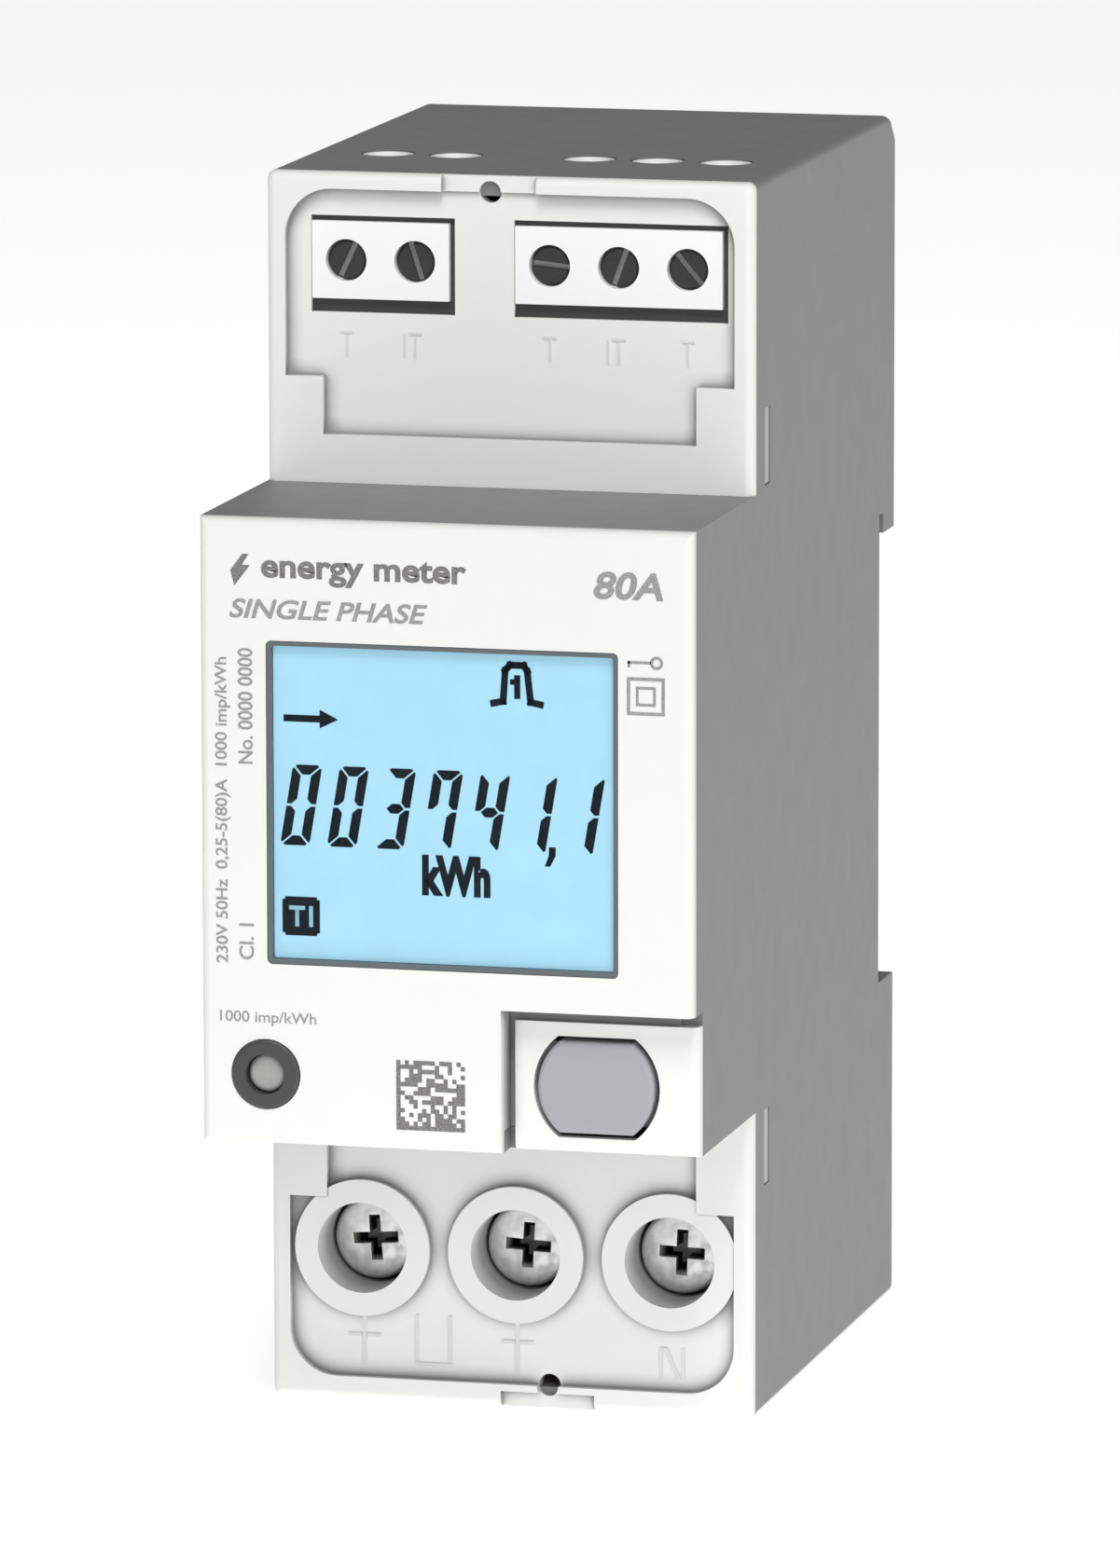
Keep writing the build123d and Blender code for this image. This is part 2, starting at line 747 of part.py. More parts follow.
def chip(x, z, wide, tall, thick, board_y, out, leads, lead_pitch):
    """A chip on a board. out is +1 where the board's face looks back, -1 where it looks forward."""
    y0, y1 = sorted((board_y + out * 0.15, board_y + out * thick))
    body = block(x - wide / 2, x + wide / 2, y0, y1, z - tall / 2, z + tall / 2)
    body = chamfer(body.edges().filter_by(Axis.Y), 0.2)
    for i in range(leads):
        lead_z = z + (i - (leads - 1) / 2) * lead_pitch
        y0, y1 = sorted((board_y, board_y + out * 0.4))
        body += block(x - wide / 2 - 0.8, x + wide / 2 + 0.8, y0, y1, lead_z - 0.15, lead_z + 0.15)
    return body


def pulse_led():
    top = board_front - pulse_led_height
    base = block(
        led_x - pulse_led_half, led_x + pulse_led_half, board_front - 0.8, board_front,
        led_height - pulse_led_half, led_height + pulse_led_half,
    )
    dome = rod(pulse_led_half - 0.3, led_x, led_height, top, board_front - 0.7)
    return base + fillet(dome.edges().sort_by(Axis.Y)[0], 0.7)


def led_light_pipe():
    pipe = rod(led_lens_radius, led_x, led_height, front + 0.35, board_front - pulse_led_height - 0.3)
    return fillet(pipe.edges().sort_by(Axis.Y)[0], 0.4)


def led_bezel():
    face_back = front + panel_face
    ring = rod(led_ring_radius, led_x, led_height, front - led_ring_proud, face_back + led_flange_thickness)
    ring = fillet(ring.edges().sort_by(Axis.Y)[0], 0.25)
    flange_radius = led_ring_radius + led_flange_reach
    ring += rod(flange_radius, led_x, led_height, face_back, face_back + led_flange_thickness)
    return ring - rod(led_lens_radius + fit_gap, led_x, led_height, front - 1, face_back + 3)


def menu_key():
    flange_front = key_plate_back + fit_gap
    flange_back = flange_front + key_flange_thickness
    cap_face = key_face - key_proud
    cap = prism(key_outline(0, 0), cap_face, flange_front + 0.1)
    cap = fillet(cap.edges().filter_by_position(Axis.Y, cap_face - 0.01, cap_face + 0.01), 0.35)
    cap += prism(key_outline(key_flange_reach, -key_gap), flange_front, flange_back)
    return cap + rod(key_stem_radius, key_x, key_height, flange_back - 0.1, plunger_front)


def switch_plunger():
    return rod(plunger_radius, key_x, key_height, plunger_front, plunger_front + plunger_length)


def key_switch():
    s = switch_half
    body = block(key_x - s, key_x + s, switch_front, board_front, key_height - s, key_height + s)
    body = chamfer(body.edges().filter_by(Axis.Y), 0.4)
    pocket_end = plunger_front + plunger_length + key_travel + 0.1
    body -= rod(plunger_radius + fit_gap, key_x, key_height, switch_front - 1, pocket_end)
    for x in (key_x - s - 0.6, key_x + s - 0.2):
        for z in (key_height - 2.6, key_height + 1.9):
            body += block(x, x + 0.8, board_front - 0.5, board_front, z, z + 0.7)
    return body


# Terminals


def busbar(i):
    x = main_x[i]
    low = main_screw_height - cage_height / 2 - busbar_below_cage
    bar = block(x - busbar_half, x + busbar_half, busbar_front, busbar_back, low, busbar_top)
    bar += busbar_shoulder(i, 0)
    if main_names[i] == "neutral":
        foot = busbar_foot_half
        foot_low = busbar_top - busbar_foot_height
        bar += block(x - foot, x + foot, busbar_back - 0.1, main_board_front, foot_low, busbar_top)
    return bar


def current_shunt():
    left = main_x[0] - busbar_half
    right = main_x[1] + busbar_half
    low = busbar_top - shunt_height
    y0, y1 = busbar_back, busbar_back + shunt_thickness
    shunt = block(left, right, y0, y1, low, busbar_top)
    pin = 2 * shunt_pin_half
    gap0 = main_x[0] + busbar_half + pin
    gap1 = main_x[1] - busbar_half - pin
    shunt -= block(gap0, gap1, y0 - 1, y1 + 1, low - 1, busbar_top - shunt_neck)
    top = busbar_top - shunt_pin_half
    for x in (gap0 - pin, gap1 + pin):
        shunt += block(x - shunt_pin_half, x + shunt_pin_half, y1 - 0.1, main_board_front, top - pin, top)
    return shunt


def aux_block(centre_x, poles, xs):
    left = centre_x - poles * aux_pitch / 2
    right = centre_x + poles * aux_pitch / 2
    z0, z1 = aux_z - aux_nose_half_height, aux_z + aux_nose_half_height
    body = block(left, right, aux_face_y, aux_nose_depth + 1, z0, z1)
    body += block(left, right, aux_nose_depth, aux_block_depth, aux_block_bottom, aux_block_top)
    for x in xs:
        collar_low, collar_high = aux_block_top - 1, height - aux_collar_below_top
        collar = Cylinder(aux_entry_radius, collar_high - collar_low)
        body += Pos(x, aux_wire_y, (collar_low + collar_high) / 2) * collar
    for x in xs:
        room = aux_cage_half_width + aux_cage_clearance
        y0 = aux_cage_start - aux_cage_travel - aux_cage_clearance
        y1 = aux_cage_end + aux_cage_clearance
        tall = aux_cage_height / 2 + aux_cage_clearance
        body -= block(x - room, x + room, y0, y1, aux_z - tall, aux_z + tall)
        body -= rod(aux_head_radius + aux_head_gap, x, aux_z, -1, aux_head_back + aux_head_room)
        body -= rod(aux_crest_radius + aux_head_room, x, aux_z, 0, y0 + 1)
        body -= Pos(x, aux_wire_y, height - wall) * Cylinder(aux_wire_radius, 2 * aux_body_below_screw)
        funnel = Cone(aux_wire_radius, aux_entry_radius - aux_funnel_rim, aux_funnel_depth)
        body -= Pos(x, aux_wire_y, height - aux_collar_below_top - aux_funnel_depth / 2) * funnel
        strip = aux_strip_half_width + fit_gap
        y0, y1 = aux_strip_y - fit_gap, aux_strip_y + aux_strip_thickness + fit_gap
        body -= block(x - strip, x + strip, y0, y1, aux_block_bottom - 1, aux_z)
    return body


def aux_contacts():
    strips = []
    for x in aux_x:
        w = aux_strip_half_width
        top = aux_z + aux_cage_height / 2 - aux_strip_above_cage
        low = aux_block_bottom - aux_strip_below_block
        y0, y1 = aux_strip_y, aux_strip_y + aux_strip_thickness
        strip = block(x - w, x + w, y0, y1, low, top)
        tail = low + aux_strip_thickness
        strip += block(x - w / 2, x + w / 2, y0, main_board_front, low, tail)
        drop = low - aux_tail_drop
        strip += block(
            x - w / 2, x + w / 2, main_board_front - aux_strip_thickness, main_board_front, drop, tail
        )
        strips.append(strip)
    return strips


# Main board


def main_board():
    edge = inner_half - board_edge_gap
    return block(-edge, edge, main_board_front, main_board_back, main_board_bottom, main_board_top)


def pin_x(i):
    return (i - (pin_count - 1) / 2) * pin_pitch


def board_pins():
    z0, z1 = pin_height - pin_half, pin_height + pin_half
    return [block(pin_x(i) - pin_half, pin_x(i) + pin_half, board_back, main_board_front, z0, z1)
            for i in range(pin_count)]


def pin_carrier():
    reach = pin_x(pin_count - 1) + pin_half + carrier_margin
    tall = pin_half + carrier_margin
    body = block(-reach, reach, carrier_front, carrier_back, pin_height - tall, pin_height + tall)
    hole = pin_half + pin_gap
    for i in range(pin_count):
        body -= block(
            pin_x(i) - hole, pin_x(i) + hole, carrier_front - 1, carrier_back + 1,
            pin_height - hole, pin_height + hole,
        )
    return body


def crystal():
    wide, deep, tall = crystal_size
    can = Pos(crystal_x, main_board_front - deep / 2, crystal_height) * Box(wide, deep, tall)
    return fillet(can.edges().filter_by(Axis.Y), crystal_round)


def storage_capacitor():
    front_face = main_board_front - storage_can_length
    can = rod(can_radius, can_x, can_height, front_face, main_board_front)
    return fillet(can.edges().sort_by(Axis.Y)[0], can_round)


def optocouplers():
    return [chip(x, optocoupler_height, *optocoupler_size, main_board_front, -1, 2, pin_pitch)
            for x in optocoupler_x]


def supply_capacitor():
    left = supply_side_gap - inner_half
    back = main_board_back + supply_length
    can = block(left, supply_right, main_board_back, back, supply_bottom, supply_top)
    return fillet(can.edges().filter_by(Axis.Y), supply_round)


def smoothing_capacitor():
    can = rod(can_radius, can_x, can_height, main_board_back, main_board_back + smoothing_can_length)
    can = fillet(can.edges().sort_by(Axis.Y)[-1], can_round)
    groove_front = main_board_back + can_groove_above_board
    groove_back = groove_front + can_groove_width
    groove = rod(can_radius + 1, can_x, can_height, groove_front, groove_back)
    groove -= rod(can_radius - can_groove_depth, can_x, can_height, main_board_back, groove_back + 1)
    return can - groove


def varistor():
    centre = Pos(varistor_x, main_board_back + varistor_stand_off, varistor_height)
    disc = centre * Rot(0, 90, 0) * Cylinder(varistor_radius, varistor_thickness)
    disc = fillet(disc.edges(), varistor_round)
    lead = varistor_lead_half
    lead_end = main_board_back + varistor_stand_off - varistor_lead_offset
    for z in (varistor_height - varistor_lead_offset, varistor_height + varistor_lead_offset):
        disc += block(varistor_x - lead, varistor_x + lead, main_board_back, lead_end, z - lead, z + lead)
    return disc


def fusible_resistor():
    x, middle, wire = resistor_x, resistor_height, resistor_wire_radius
    y = main_board_back + resistor_stand_off
    body = Pos(x, y, middle) * Cylinder(resistor_radius, resistor_length)
    body = fillet(body.edges(), resistor_round)
    for z in (middle - resistor_wire_reach, middle + resistor_wire_reach):
        body += Pos(x, y, (z + middle) / 2) * Cylinder(wire, resistor_wire_reach)
        body += block(x - wire, x + wire, main_board_back, y + wire, z - wire, z + wire)
    return body


# Rail clip


def rail_clip():
    w = clip_half_width
    flange = w + clip_flange_reach
    top = lower_lug_top - slide_gap
    clip = block(-w, w, clip_floor, clip_back, clip_bottom, top)
    clip += block(-flange, flange, clip_floor, clip_flange_back, clip_bottom, top)
    nose = block(-w, w, hook_depth, clip_back, top - clip_nose_root, rail_bottom + clip_overlap)
    edge = nose.edges().filter_by(Axis.X).sort_by(Axis.Z)[-2:].sort_by(Axis.Y)[-1]
    clip += chamfer(edge, (clip_back - hook_depth) / 2)
    slot = spring_slot_half
    clip -= block(-slot, slot, seat_depth, lug_back + 1, slot_bottom, slot_top)
    eye = pull_slot_half_width
    eye_low = clip_bottom + clip_eye_above_bottom
    clip -= block(-eye, eye, seat_depth, lug_back + 1, eye_low, eye_low + pull_slot_height)
    return clip


def clip_spring():
    low = spring_rib_bottom + spring_rib_height + spring_wire / 2 + spring_end_gap
    high = slot_top - spring_wire / 2 - spring_end_gap
    coil = Helix(pitch=(high - low) / spring_turns, height=high - low, radius=spring_radius)
    start = Plane(origin=coil @ 0, z_dir=coil % 0)
    wire = sweep(start * Circle(spring_wire / 2), path=coil, is_frenet=True)
    return Pos(0, spring_y, low) * wire


os.makedirs("parts", exist_ok=True)

write("rear_housing", rear_housing())
write("front_panel", front_panel())
write("upper_terminal_panel", upper_terminal_panel())
write("lower_terminal_panel", lower_terminal_panel())
write("display_bezel", display_bezel())
write("display_window", display_window())
write("lcd_glass", lcd_glass())
write("lcd_holder", lcd_holder())
write("lcd_backlight", lcd_backlight())
write("contact_strip", contact_strip())
write("display_board", display_board())
write("board_screws", *board_screws())
write("display_driver", chip(0, 45, 7, 7, 1.4, board_back, 1, 10, 0.5))
write("pulse_led", pulse_led())
write("led_light_pipe", led_light_pipe())
write("led_bezel", led_bezel())
write("menu_key", menu_key())
write("switch_plunger", switch_plunger())
write("key_switch", key_switch())
write("main_board", main_board())
write("board_pins", *board_pins())
write("pin_carrier", pin_carrier())
write("microcontroller", chip(-6, 47, 9, 9, 1.6, main_board_front, -1, 14, 0.5))
write("metering_chip", chip(6, 37, 7.4, 10.2, 2.2, main_board_front, -1, 8, 1.27))
write("crystal", crystal())
write("storage_capacitor", storage_capacitor())
write("optocouplers", *optocouplers())
write("supply_capacitor", supply_capacitor())
write("smoothing_capacitor", smoothing_capacitor())
write("varistor", varistor())
write("fusible_resistor", fusible_resistor())
write("current_shunt", current_shunt())
write("aux_block_two_pole", aux_block(aux_two_pole_x, 2, aux_x[:2]))
write("aux_block_three_pole", aux_block(aux_three_pole_x, 3, aux_x[2:]))
write("aux_contacts", *aux_contacts())
write("rail_clip", rail_clip())
write("clip_spring", clip_spring())
for i, name in enumerate(main_names):
    write(f"busbar_{name}", busbar(i))
    write(f"main_screw_{name}", main_screw(i))
    write(f"main_cage_{name}", main_cage(i))
for i in range(len(aux_x)):
    write(f"aux_screw_{i + 1}", aux_screw(i))
    write(f"aux_cage_{i + 1}", aux_cage(i))
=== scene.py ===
import math
import random

import bmesh
import bpy
from bpy.props import FloatProperty, FloatVectorProperty, IntProperty, StringProperty
from mathutils import Matrix, Vector


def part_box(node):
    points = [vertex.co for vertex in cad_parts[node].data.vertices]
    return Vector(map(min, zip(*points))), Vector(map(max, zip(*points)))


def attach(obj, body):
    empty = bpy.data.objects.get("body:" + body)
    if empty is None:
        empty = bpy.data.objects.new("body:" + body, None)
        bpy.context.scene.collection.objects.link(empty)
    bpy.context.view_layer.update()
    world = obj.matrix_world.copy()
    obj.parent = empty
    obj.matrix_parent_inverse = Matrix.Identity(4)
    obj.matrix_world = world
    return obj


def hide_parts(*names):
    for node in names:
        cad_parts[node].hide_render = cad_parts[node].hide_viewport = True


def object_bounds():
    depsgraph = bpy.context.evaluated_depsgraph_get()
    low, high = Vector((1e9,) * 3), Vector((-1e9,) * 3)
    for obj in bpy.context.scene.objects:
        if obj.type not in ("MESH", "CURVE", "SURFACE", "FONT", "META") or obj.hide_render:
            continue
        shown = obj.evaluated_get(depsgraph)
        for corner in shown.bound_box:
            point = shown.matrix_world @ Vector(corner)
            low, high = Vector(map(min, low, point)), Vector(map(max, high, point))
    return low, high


bl_info = {
    "name": "Rail Meter",
    "version": (1, 0, 0),
    "blender": (4, 5, 0),
    "location": "3D View > Sidebar > Meter",
    "description": "Finishes, markings, screws and studio for a two-module electricity meter",
    "category": "Object",
}

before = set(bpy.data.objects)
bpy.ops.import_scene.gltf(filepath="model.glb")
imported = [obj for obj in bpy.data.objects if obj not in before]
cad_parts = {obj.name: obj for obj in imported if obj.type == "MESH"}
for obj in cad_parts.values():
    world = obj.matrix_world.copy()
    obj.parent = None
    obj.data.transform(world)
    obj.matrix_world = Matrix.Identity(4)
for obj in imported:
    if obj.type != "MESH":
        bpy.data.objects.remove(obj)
cad_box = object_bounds()
MM = 0.001

# Places that the markings and pieces are set out from
meter_low, meter_high = cad_box
face_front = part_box("front_panel")[0].y
panel_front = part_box("lower_terminal_panel")[0].y
glass_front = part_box("lcd_glass")[0].y
aux_screw_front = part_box("aux_screw_1")[0].y

INK_GAP = 0.02 * MM
RECESS_DEPTH = 0.8 * MM
KEY_STEP_DEPTH = 2.0 * MM
AUX_SLOT_DEPTH = 0.5 * MM
# Depth of the dark sheet painted as shade behind the terminal-block gaps
GAP_SHADE_DEPTH = 1.1 * MM
# Painted shade: how far the darkening of inner corners reaches, and the depths where terminal wells and
# step walls are painted darker
CORNER_SHADE_REACH = 1.3 * MM
WELL_SHADE = (0.9 * MM, 3.0 * MM)
STEP_SHADE = (0.3 * MM, 1.3 * MM)
# Painted shade: depths behind a main screw's face over which its driver cross is painted near black
CROSS_SHADE_DEPTH = (0.25 * MM, 0.9 * MM)
PIN_PITCH = 1.27 * MM
SHARP_ANGLE = math.radians(40)


# Shader maths


class Signal:
    """A number that varies over a surface. Arithmetic on it adds Math nodes."""

    def __init__(self, finish, socket):
        self.finish = finish
        self.socket = socket

    def math(self, operation, *values):
        settings = {"operation": operation}
        return self.finish.node("ShaderNodeMath", settings, dict(enumerate(values)))

    def __add__(self, other):
        return self.math("ADD", self, other)

    __radd__ = __add__

    def __sub__(self, other):
        return self.math("SUBTRACT", self, other)

    def __rsub__(self, other):
        return self.math("SUBTRACT", other, self)

    def __mul__(self, other):
        return self.math("MULTIPLY", self, other)

    __rmul__ = __mul__

    def clamped(self):
        return self.math("MAXIMUM", self.math("MINIMUM", self, 1.0), 0.0)

    def sine(self):
        return self.math("SINE", self)


# Places of the colour sockets on a Mix node
MIX_FACTOR, MIX_FIRST, MIX_SECOND, MIX_RESULT = 0, 6, 7, 2

SOCKETS = {
    "metallic": "Metallic", "roughness": "Roughness", "ior": "IOR", "coat_weight": "Coat Weight",
    "coat_roughness": "Coat Roughness", "specular_ior_level": "Specular IOR Level",
    "emission_strength": "Emission Strength",
}


class Finish:
    """A material: one shader, and the nodes that vary its colour, roughness and surface."""

    def __init__(self, name, **constants):
        self.material = bpy.data.materials.new(name)
        self.material.use_nodes = True
        self.tree = self.material.node_tree
        self.shader = self.tree.nodes["Principled BSDF"]
        for socket, value in constants.items():
            self.shader.inputs[SOCKETS[socket]].default_value = value

    def node(self, kind, settings=None, inputs=None, output=0):
        made = self.tree.nodes.new(kind)
        for name, value in (settings or {}).items():
            setattr(made, name, value)
        for name, value in (inputs or {}).items():
            self.plug(made.inputs[name], value)
        return Signal(self, made.outputs[output])

    def plug(self, socket, value):
        if isinstance(value, Signal):
            self.tree.links.new(value.socket, socket)
        else:
            socket.default_value = value

    def feed(self, socket, value):
        self.plug(self.shader.inputs[socket], value)

    def place(self, size, stretch=(1, 1, 1)):
        """The piece's own coordinates, counted in steps of size along each axis."""
        where = self.node("ShaderNodeTexCoord", output="Object")
        scale = [1 / (size * s) for s in stretch]
        return self.node("ShaderNodeVectorMath", {"operation": "MULTIPLY"}, {0: where, 1: scale})

    def noise(self, size, detail=2.0, stretch=(1, 1, 1)):
        inputs = {"Vector": self.place(size, stretch), "Scale": 1.0, "Detail": detail}
        return self.node("ShaderNodeTexNoise", {}, inputs, "Fac")

    def along(self, axis):
        """How far along one axis a point lies, in metres."""
        where = self.node("ShaderNodeTexCoord", output="Object")
        return self.node("ShaderNodeSeparateXYZ", {}, {"Vector": where}, axis)

    def span(self, signal, low, high):
        """A mask that rises from 0 to 1 while the signal goes from low to high."""
        return ((signal - low) * (1 / (high - low))).clamped()

    def blend(self, mask, first, second):
        """One colour where the mask is 0 and the other where it is 1."""
        inputs = {MIX_FACTOR: mask, MIX_FIRST: rgba(first), MIX_SECOND: rgba(second)}
        return self.node("ShaderNodeMix", {"data_type": "RGBA"}, inputs, MIX_RESULT)

    def bump(self, height, depth):
        inputs = {"Height": height, "Distance": depth}
        self.feed("Normal", self.node("ShaderNodeBump", {}, inputs, "Normal"))


def rgba(colour):
    if isinstance(colour, Signal):
        return colour
    return (*tuple(colour)[:3], 1.0)


def shade(colour, factor):
    return tuple(min(c * factor, 1.0) for c in tuple(colour)[:3])


# Finishes


def moulded_plastic(name, colour, roughness, grain=0.22 * MM, depth=0.006 * MM, cloud=0.03, painted_shade=0.0):
    """Injection-moulded plastic: fine eroded grain, a faint cloudiness and slightly uneven sheen.
    The last argument is how dark the painted shade is in its inner corners, terminal wells and step walls."""
    made = Finish(name)
    fine = made.noise(grain, 3.0)
    broad = made.noise(9 * MM, 2.0)
    clean = made.blend(broad, shade(colour, 1 - cloud), shade(colour, 1 + cloud))
    # Painted shade: inner corners found by ambient occlusion are painted darker
    if painted_shade:
        corners = {"samples": 8, "only_local": True}
        open_air = made.node("ShaderNodeAmbientOcclusion", corners, {"Distance": CORNER_SHADE_REACH}, "AO")
        corner_shade_mask = made.span(open_air, 0.93, 0.5) * painted_shade
        clean = made.blend(corner_shade_mask, clean, shade(colour, 0.22))
        # Painted shade: the terminal wells and the step walls behind the face are painted darker by depth
        y = made.along("Y")
        well = made.span(y, panel_front + WELL_SHADE[0], panel_front + WELL_SHADE[1])
        step = made.span(y, face_front + STEP_SHADE[0], face_front + STEP_SHADE[1])
        step_end = face_front + KEY_STEP_DEPTH - 0.03 * MM
        step = step * (1 - made.span(y, step_end - 0.05 * MM, step_end))
        clean = made.blend((well + step).clamped() * (painted_shade * 0.8), clean, shade(colour, 0.3))
    made.feed("Base Color", clean)
    made.feed("Roughness", made.noise(2.5 * MM, 3.0) * 0.14 + (roughness - 0.07))
    made.bump(fine, depth)
    return made.material


def turned_metal(name, colour, roughness, ring=0.11 * MM, tarnish=0.15):
    """Plated metal turned on a lathe: faint rings about the piece's own Y axis, dull patches, and painted
    shade that turns the driver cross near black.
    """
    made = Finish(name, metallic=1.0)
    where = made.node("ShaderNodeTexCoord", output="Object")
    flat = made.node("ShaderNodeVectorMath", {"operation": "MULTIPLY"}, {0: where, 1: (1, 0, 1)})
    radius = made.node("ShaderNodeVectorMath", {"operation": "LENGTH"}, {0: flat}, "Value")
    rings = (radius * (math.tau / ring)).sine()
    patches = made.span(made.noise(0.9 * MM, 4.0), 0.42, 0.62)
    plated = made.blend(patches, colour, shade(colour, 1 - tarnish))
    # Painted shade: everything deeper than the face, the driver cross above all, is painted near black
    recess_shade = made.span(made.along("Y"), *CROSS_SHADE_DEPTH)
    made.feed("Base Color", made.blend(recess_shade, plated, shade(colour, 0.1)))
    made.feed("Roughness", patches * 0.16 + made.noise(0.15 * MM, 2.0) * 0.12 + (roughness - 0.08))
    made.bump(rings * 0.35 + made.noise(0.3 * MM, 3.0), 0.004 * MM)
    return made.material


def blackened_metal(name, colour, slot_floor_tone, face, slot):
    """Blackened screw steel, lighter towards the slot's floor. Face and slot are places along Y."""
    made = Finish(name, metallic=1.0)
    fine = made.noise(0.25 * MM, 3.0)
    # Lighter towards the floor of the slot
    bright = made.span(made.along("Y"), face + (slot - face) * 0.6, slot) * (fine * 0.3 + 0.8).clamped()
    black = made.blend(fine, shade(colour, 0.8), shade(colour, 1.2))
    made.feed("Base Color", made.blend(bright, black, slot_floor_tone))
    made.feed("Roughness", fine * 0.15 + 0.38)
    made.bump(fine, 0.004 * MM)
    return made.material


def rolled_metal(name, colour, roughness, stretch=(1, 1, 14), tarnish=0.2):
    """Strip or bar metal with drawing lines along Z and oxide stains."""
    made = Finish(name, metallic=1.0)
    lines = made.noise(0.12 * MM, 3.0, stretch)
    stains = made.span(made.noise(2.2 * MM, 4.0), 0.45, 0.7)
    made.feed("Base Color", made.blend(stains, colour, shade(colour, 1 - tarnish)))
    made.feed("Roughness", lines * 0.2 + stains * 0.12 + (roughness - 0.1))
    made.bump(lines, 0.003 * MM)
    return made.material


def clear_plastic(name, colour, alpha, roughness, gloss=0.5):
    """A clear moulding, seen mostly by its gloss and a trace of tint."""
    made = Finish(name, ior=1.49, specular_ior_level=gloss)
    smear = made.noise(3 * MM, 3.0)
    made.feed("Base Color", made.blend(smear, colour, shade(colour, 0.94)))
    made.feed("Roughness", smear * 0.06 + roughness)
    made.feed("Alpha", smear * 0.04 + alpha)
    return made.material


def circuit_board(name, colour, copper):
    """Solder mask with tracks under it, pads in rows and a matt sheen."""
    made = Finish(name, coat_weight=0.2, coat_roughness=0.3)
    across, along = made.along("X") * (1 / PIN_PITCH), made.along("Z") * (1 / PIN_PITCH)
    wander = made.noise(4 * MM, 1.0) * 5
    tracks = made.span((across * 2.2 + wander).sine(), 0.55, 0.75)
    rows = made.span((along * math.tau).sine() * (across * math.tau).sine(), 0.82, 0.9)
    mask = made.blend(tracks, colour, shade(colour, 1.7))
    made.feed("Base Color", made.blend(rows, mask, copper))
    made.feed("Roughness", made.noise(0.6 * MM, 2.0) * 0.1 + 0.32)
    made.bump(tracks + rows * 0.5, 0.02 * MM)
    return made.material


def lit_glass(name, colour, glow):
    """Display glass over a lit guide: even colour with a faint, uneven tone."""
    made = Finish(name, roughness=0.35, emission_strength=glow)
    weave = made.noise(0.09 * MM, 1.0)
    broad = made.noise(14 * MM, 1.0)
    tone = made.blend(broad, shade(colour, 0.97), shade(colour, 1.03))
    made.feed("Base Color", tone)
    made.feed("Emission Color", tone)
    made.bump(weave, 0.001 * MM)
    return made.material


def printed_ink(name, colour, fade=0.25):
    """Pad-printed ink: slightly uneven cover with pinholes."""
    made = Finish(name)
    pinholes = made.span(made.noise(0.1 * MM, 3.0), 0.35, 0.7)
    paler = tuple(c + (0.85 - c) * fade for c in tuple(colour)[:3])
    made.feed("Base Color", made.blend(pinholes, colour, paler))
    made.feed("Roughness", pinholes * 0.12 + 0.4)
    return made.material


def crystal_ink(name, colour):
    """A display segment, with a slightly uneven tone."""
    made = Finish(name, roughness=0.3, specular_ior_level=0.05)
    cover = made.noise(0.4 * MM, 2.0)
    made.feed("Base Color", made.blend(cover, colour, shade(colour, 1.25)))
    return made.material


def sleeve_film(name, colour, roughness):
    """Shrunk film or dipped lacquer, glossy with orange peel."""
    made = Finish(name, coat_weight=0.4, coat_roughness=0.12)
    peel = made.noise(0.7 * MM, 2.0)
    made.feed("Base Color", made.blend(peel, colour, shade(colour, 0.88)))
    made.feed("Roughness", peel * 0.15 + roughness)
    made.bump(peel, 0.02 * MM)
    return made.material


def studio_paper(name, colour, glow):
    """Pale seamless paper, lit through from below, less so in front of the meter."""
    made = Finish(name, emission_strength=glow)
    fibre = made.noise(6 * MM, 4.0)
    tone = made.blend(fibre, shade(colour, 0.985), colour)
    lit = made.span(made.along("Y"), -0.18, -0.12)
    made.feed("Base Color", tone)
    made.feed("Roughness", fibre * 0.1 + 0.75)
    made.feed("Emission Color", made.blend(lit, shade(colour, 0.12), tone))
    return made.material


# Mesh tools


def new_piece(name, mesh, material, body, origin=None):
    """An object from a mesh, with its finish, riding on a CAD body."""
    if origin is not None:
        mesh.transform(Matrix.Translation(-origin))
    piece = bpy.data.objects.new(name, mesh)
    bpy.context.scene.collection.objects.link(piece)
    if origin is not None:
        piece.location = origin
    mesh.materials.clear()
    mesh.materials.append(material)
    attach(piece, body)
    return piece


def mesh_of(name, bm, smooth=None):
    mesh = bpy.data.meshes.new(name)
    bmesh.ops.recalc_face_normals(bm, faces=bm.faces)
    bm.to_mesh(mesh)
    bm.free()
    if smooth is not None:
        mesh.shade_smooth()
        mesh.set_sharp_from_angle(angle=smooth)
    return mesh


def applied(piece):
    """The piece's mesh with its modifiers worked in."""
    graph = bpy.context.evaluated_depsgraph_get()
    return bpy.data.meshes.new_from_object(piece.evaluated_get(graph))


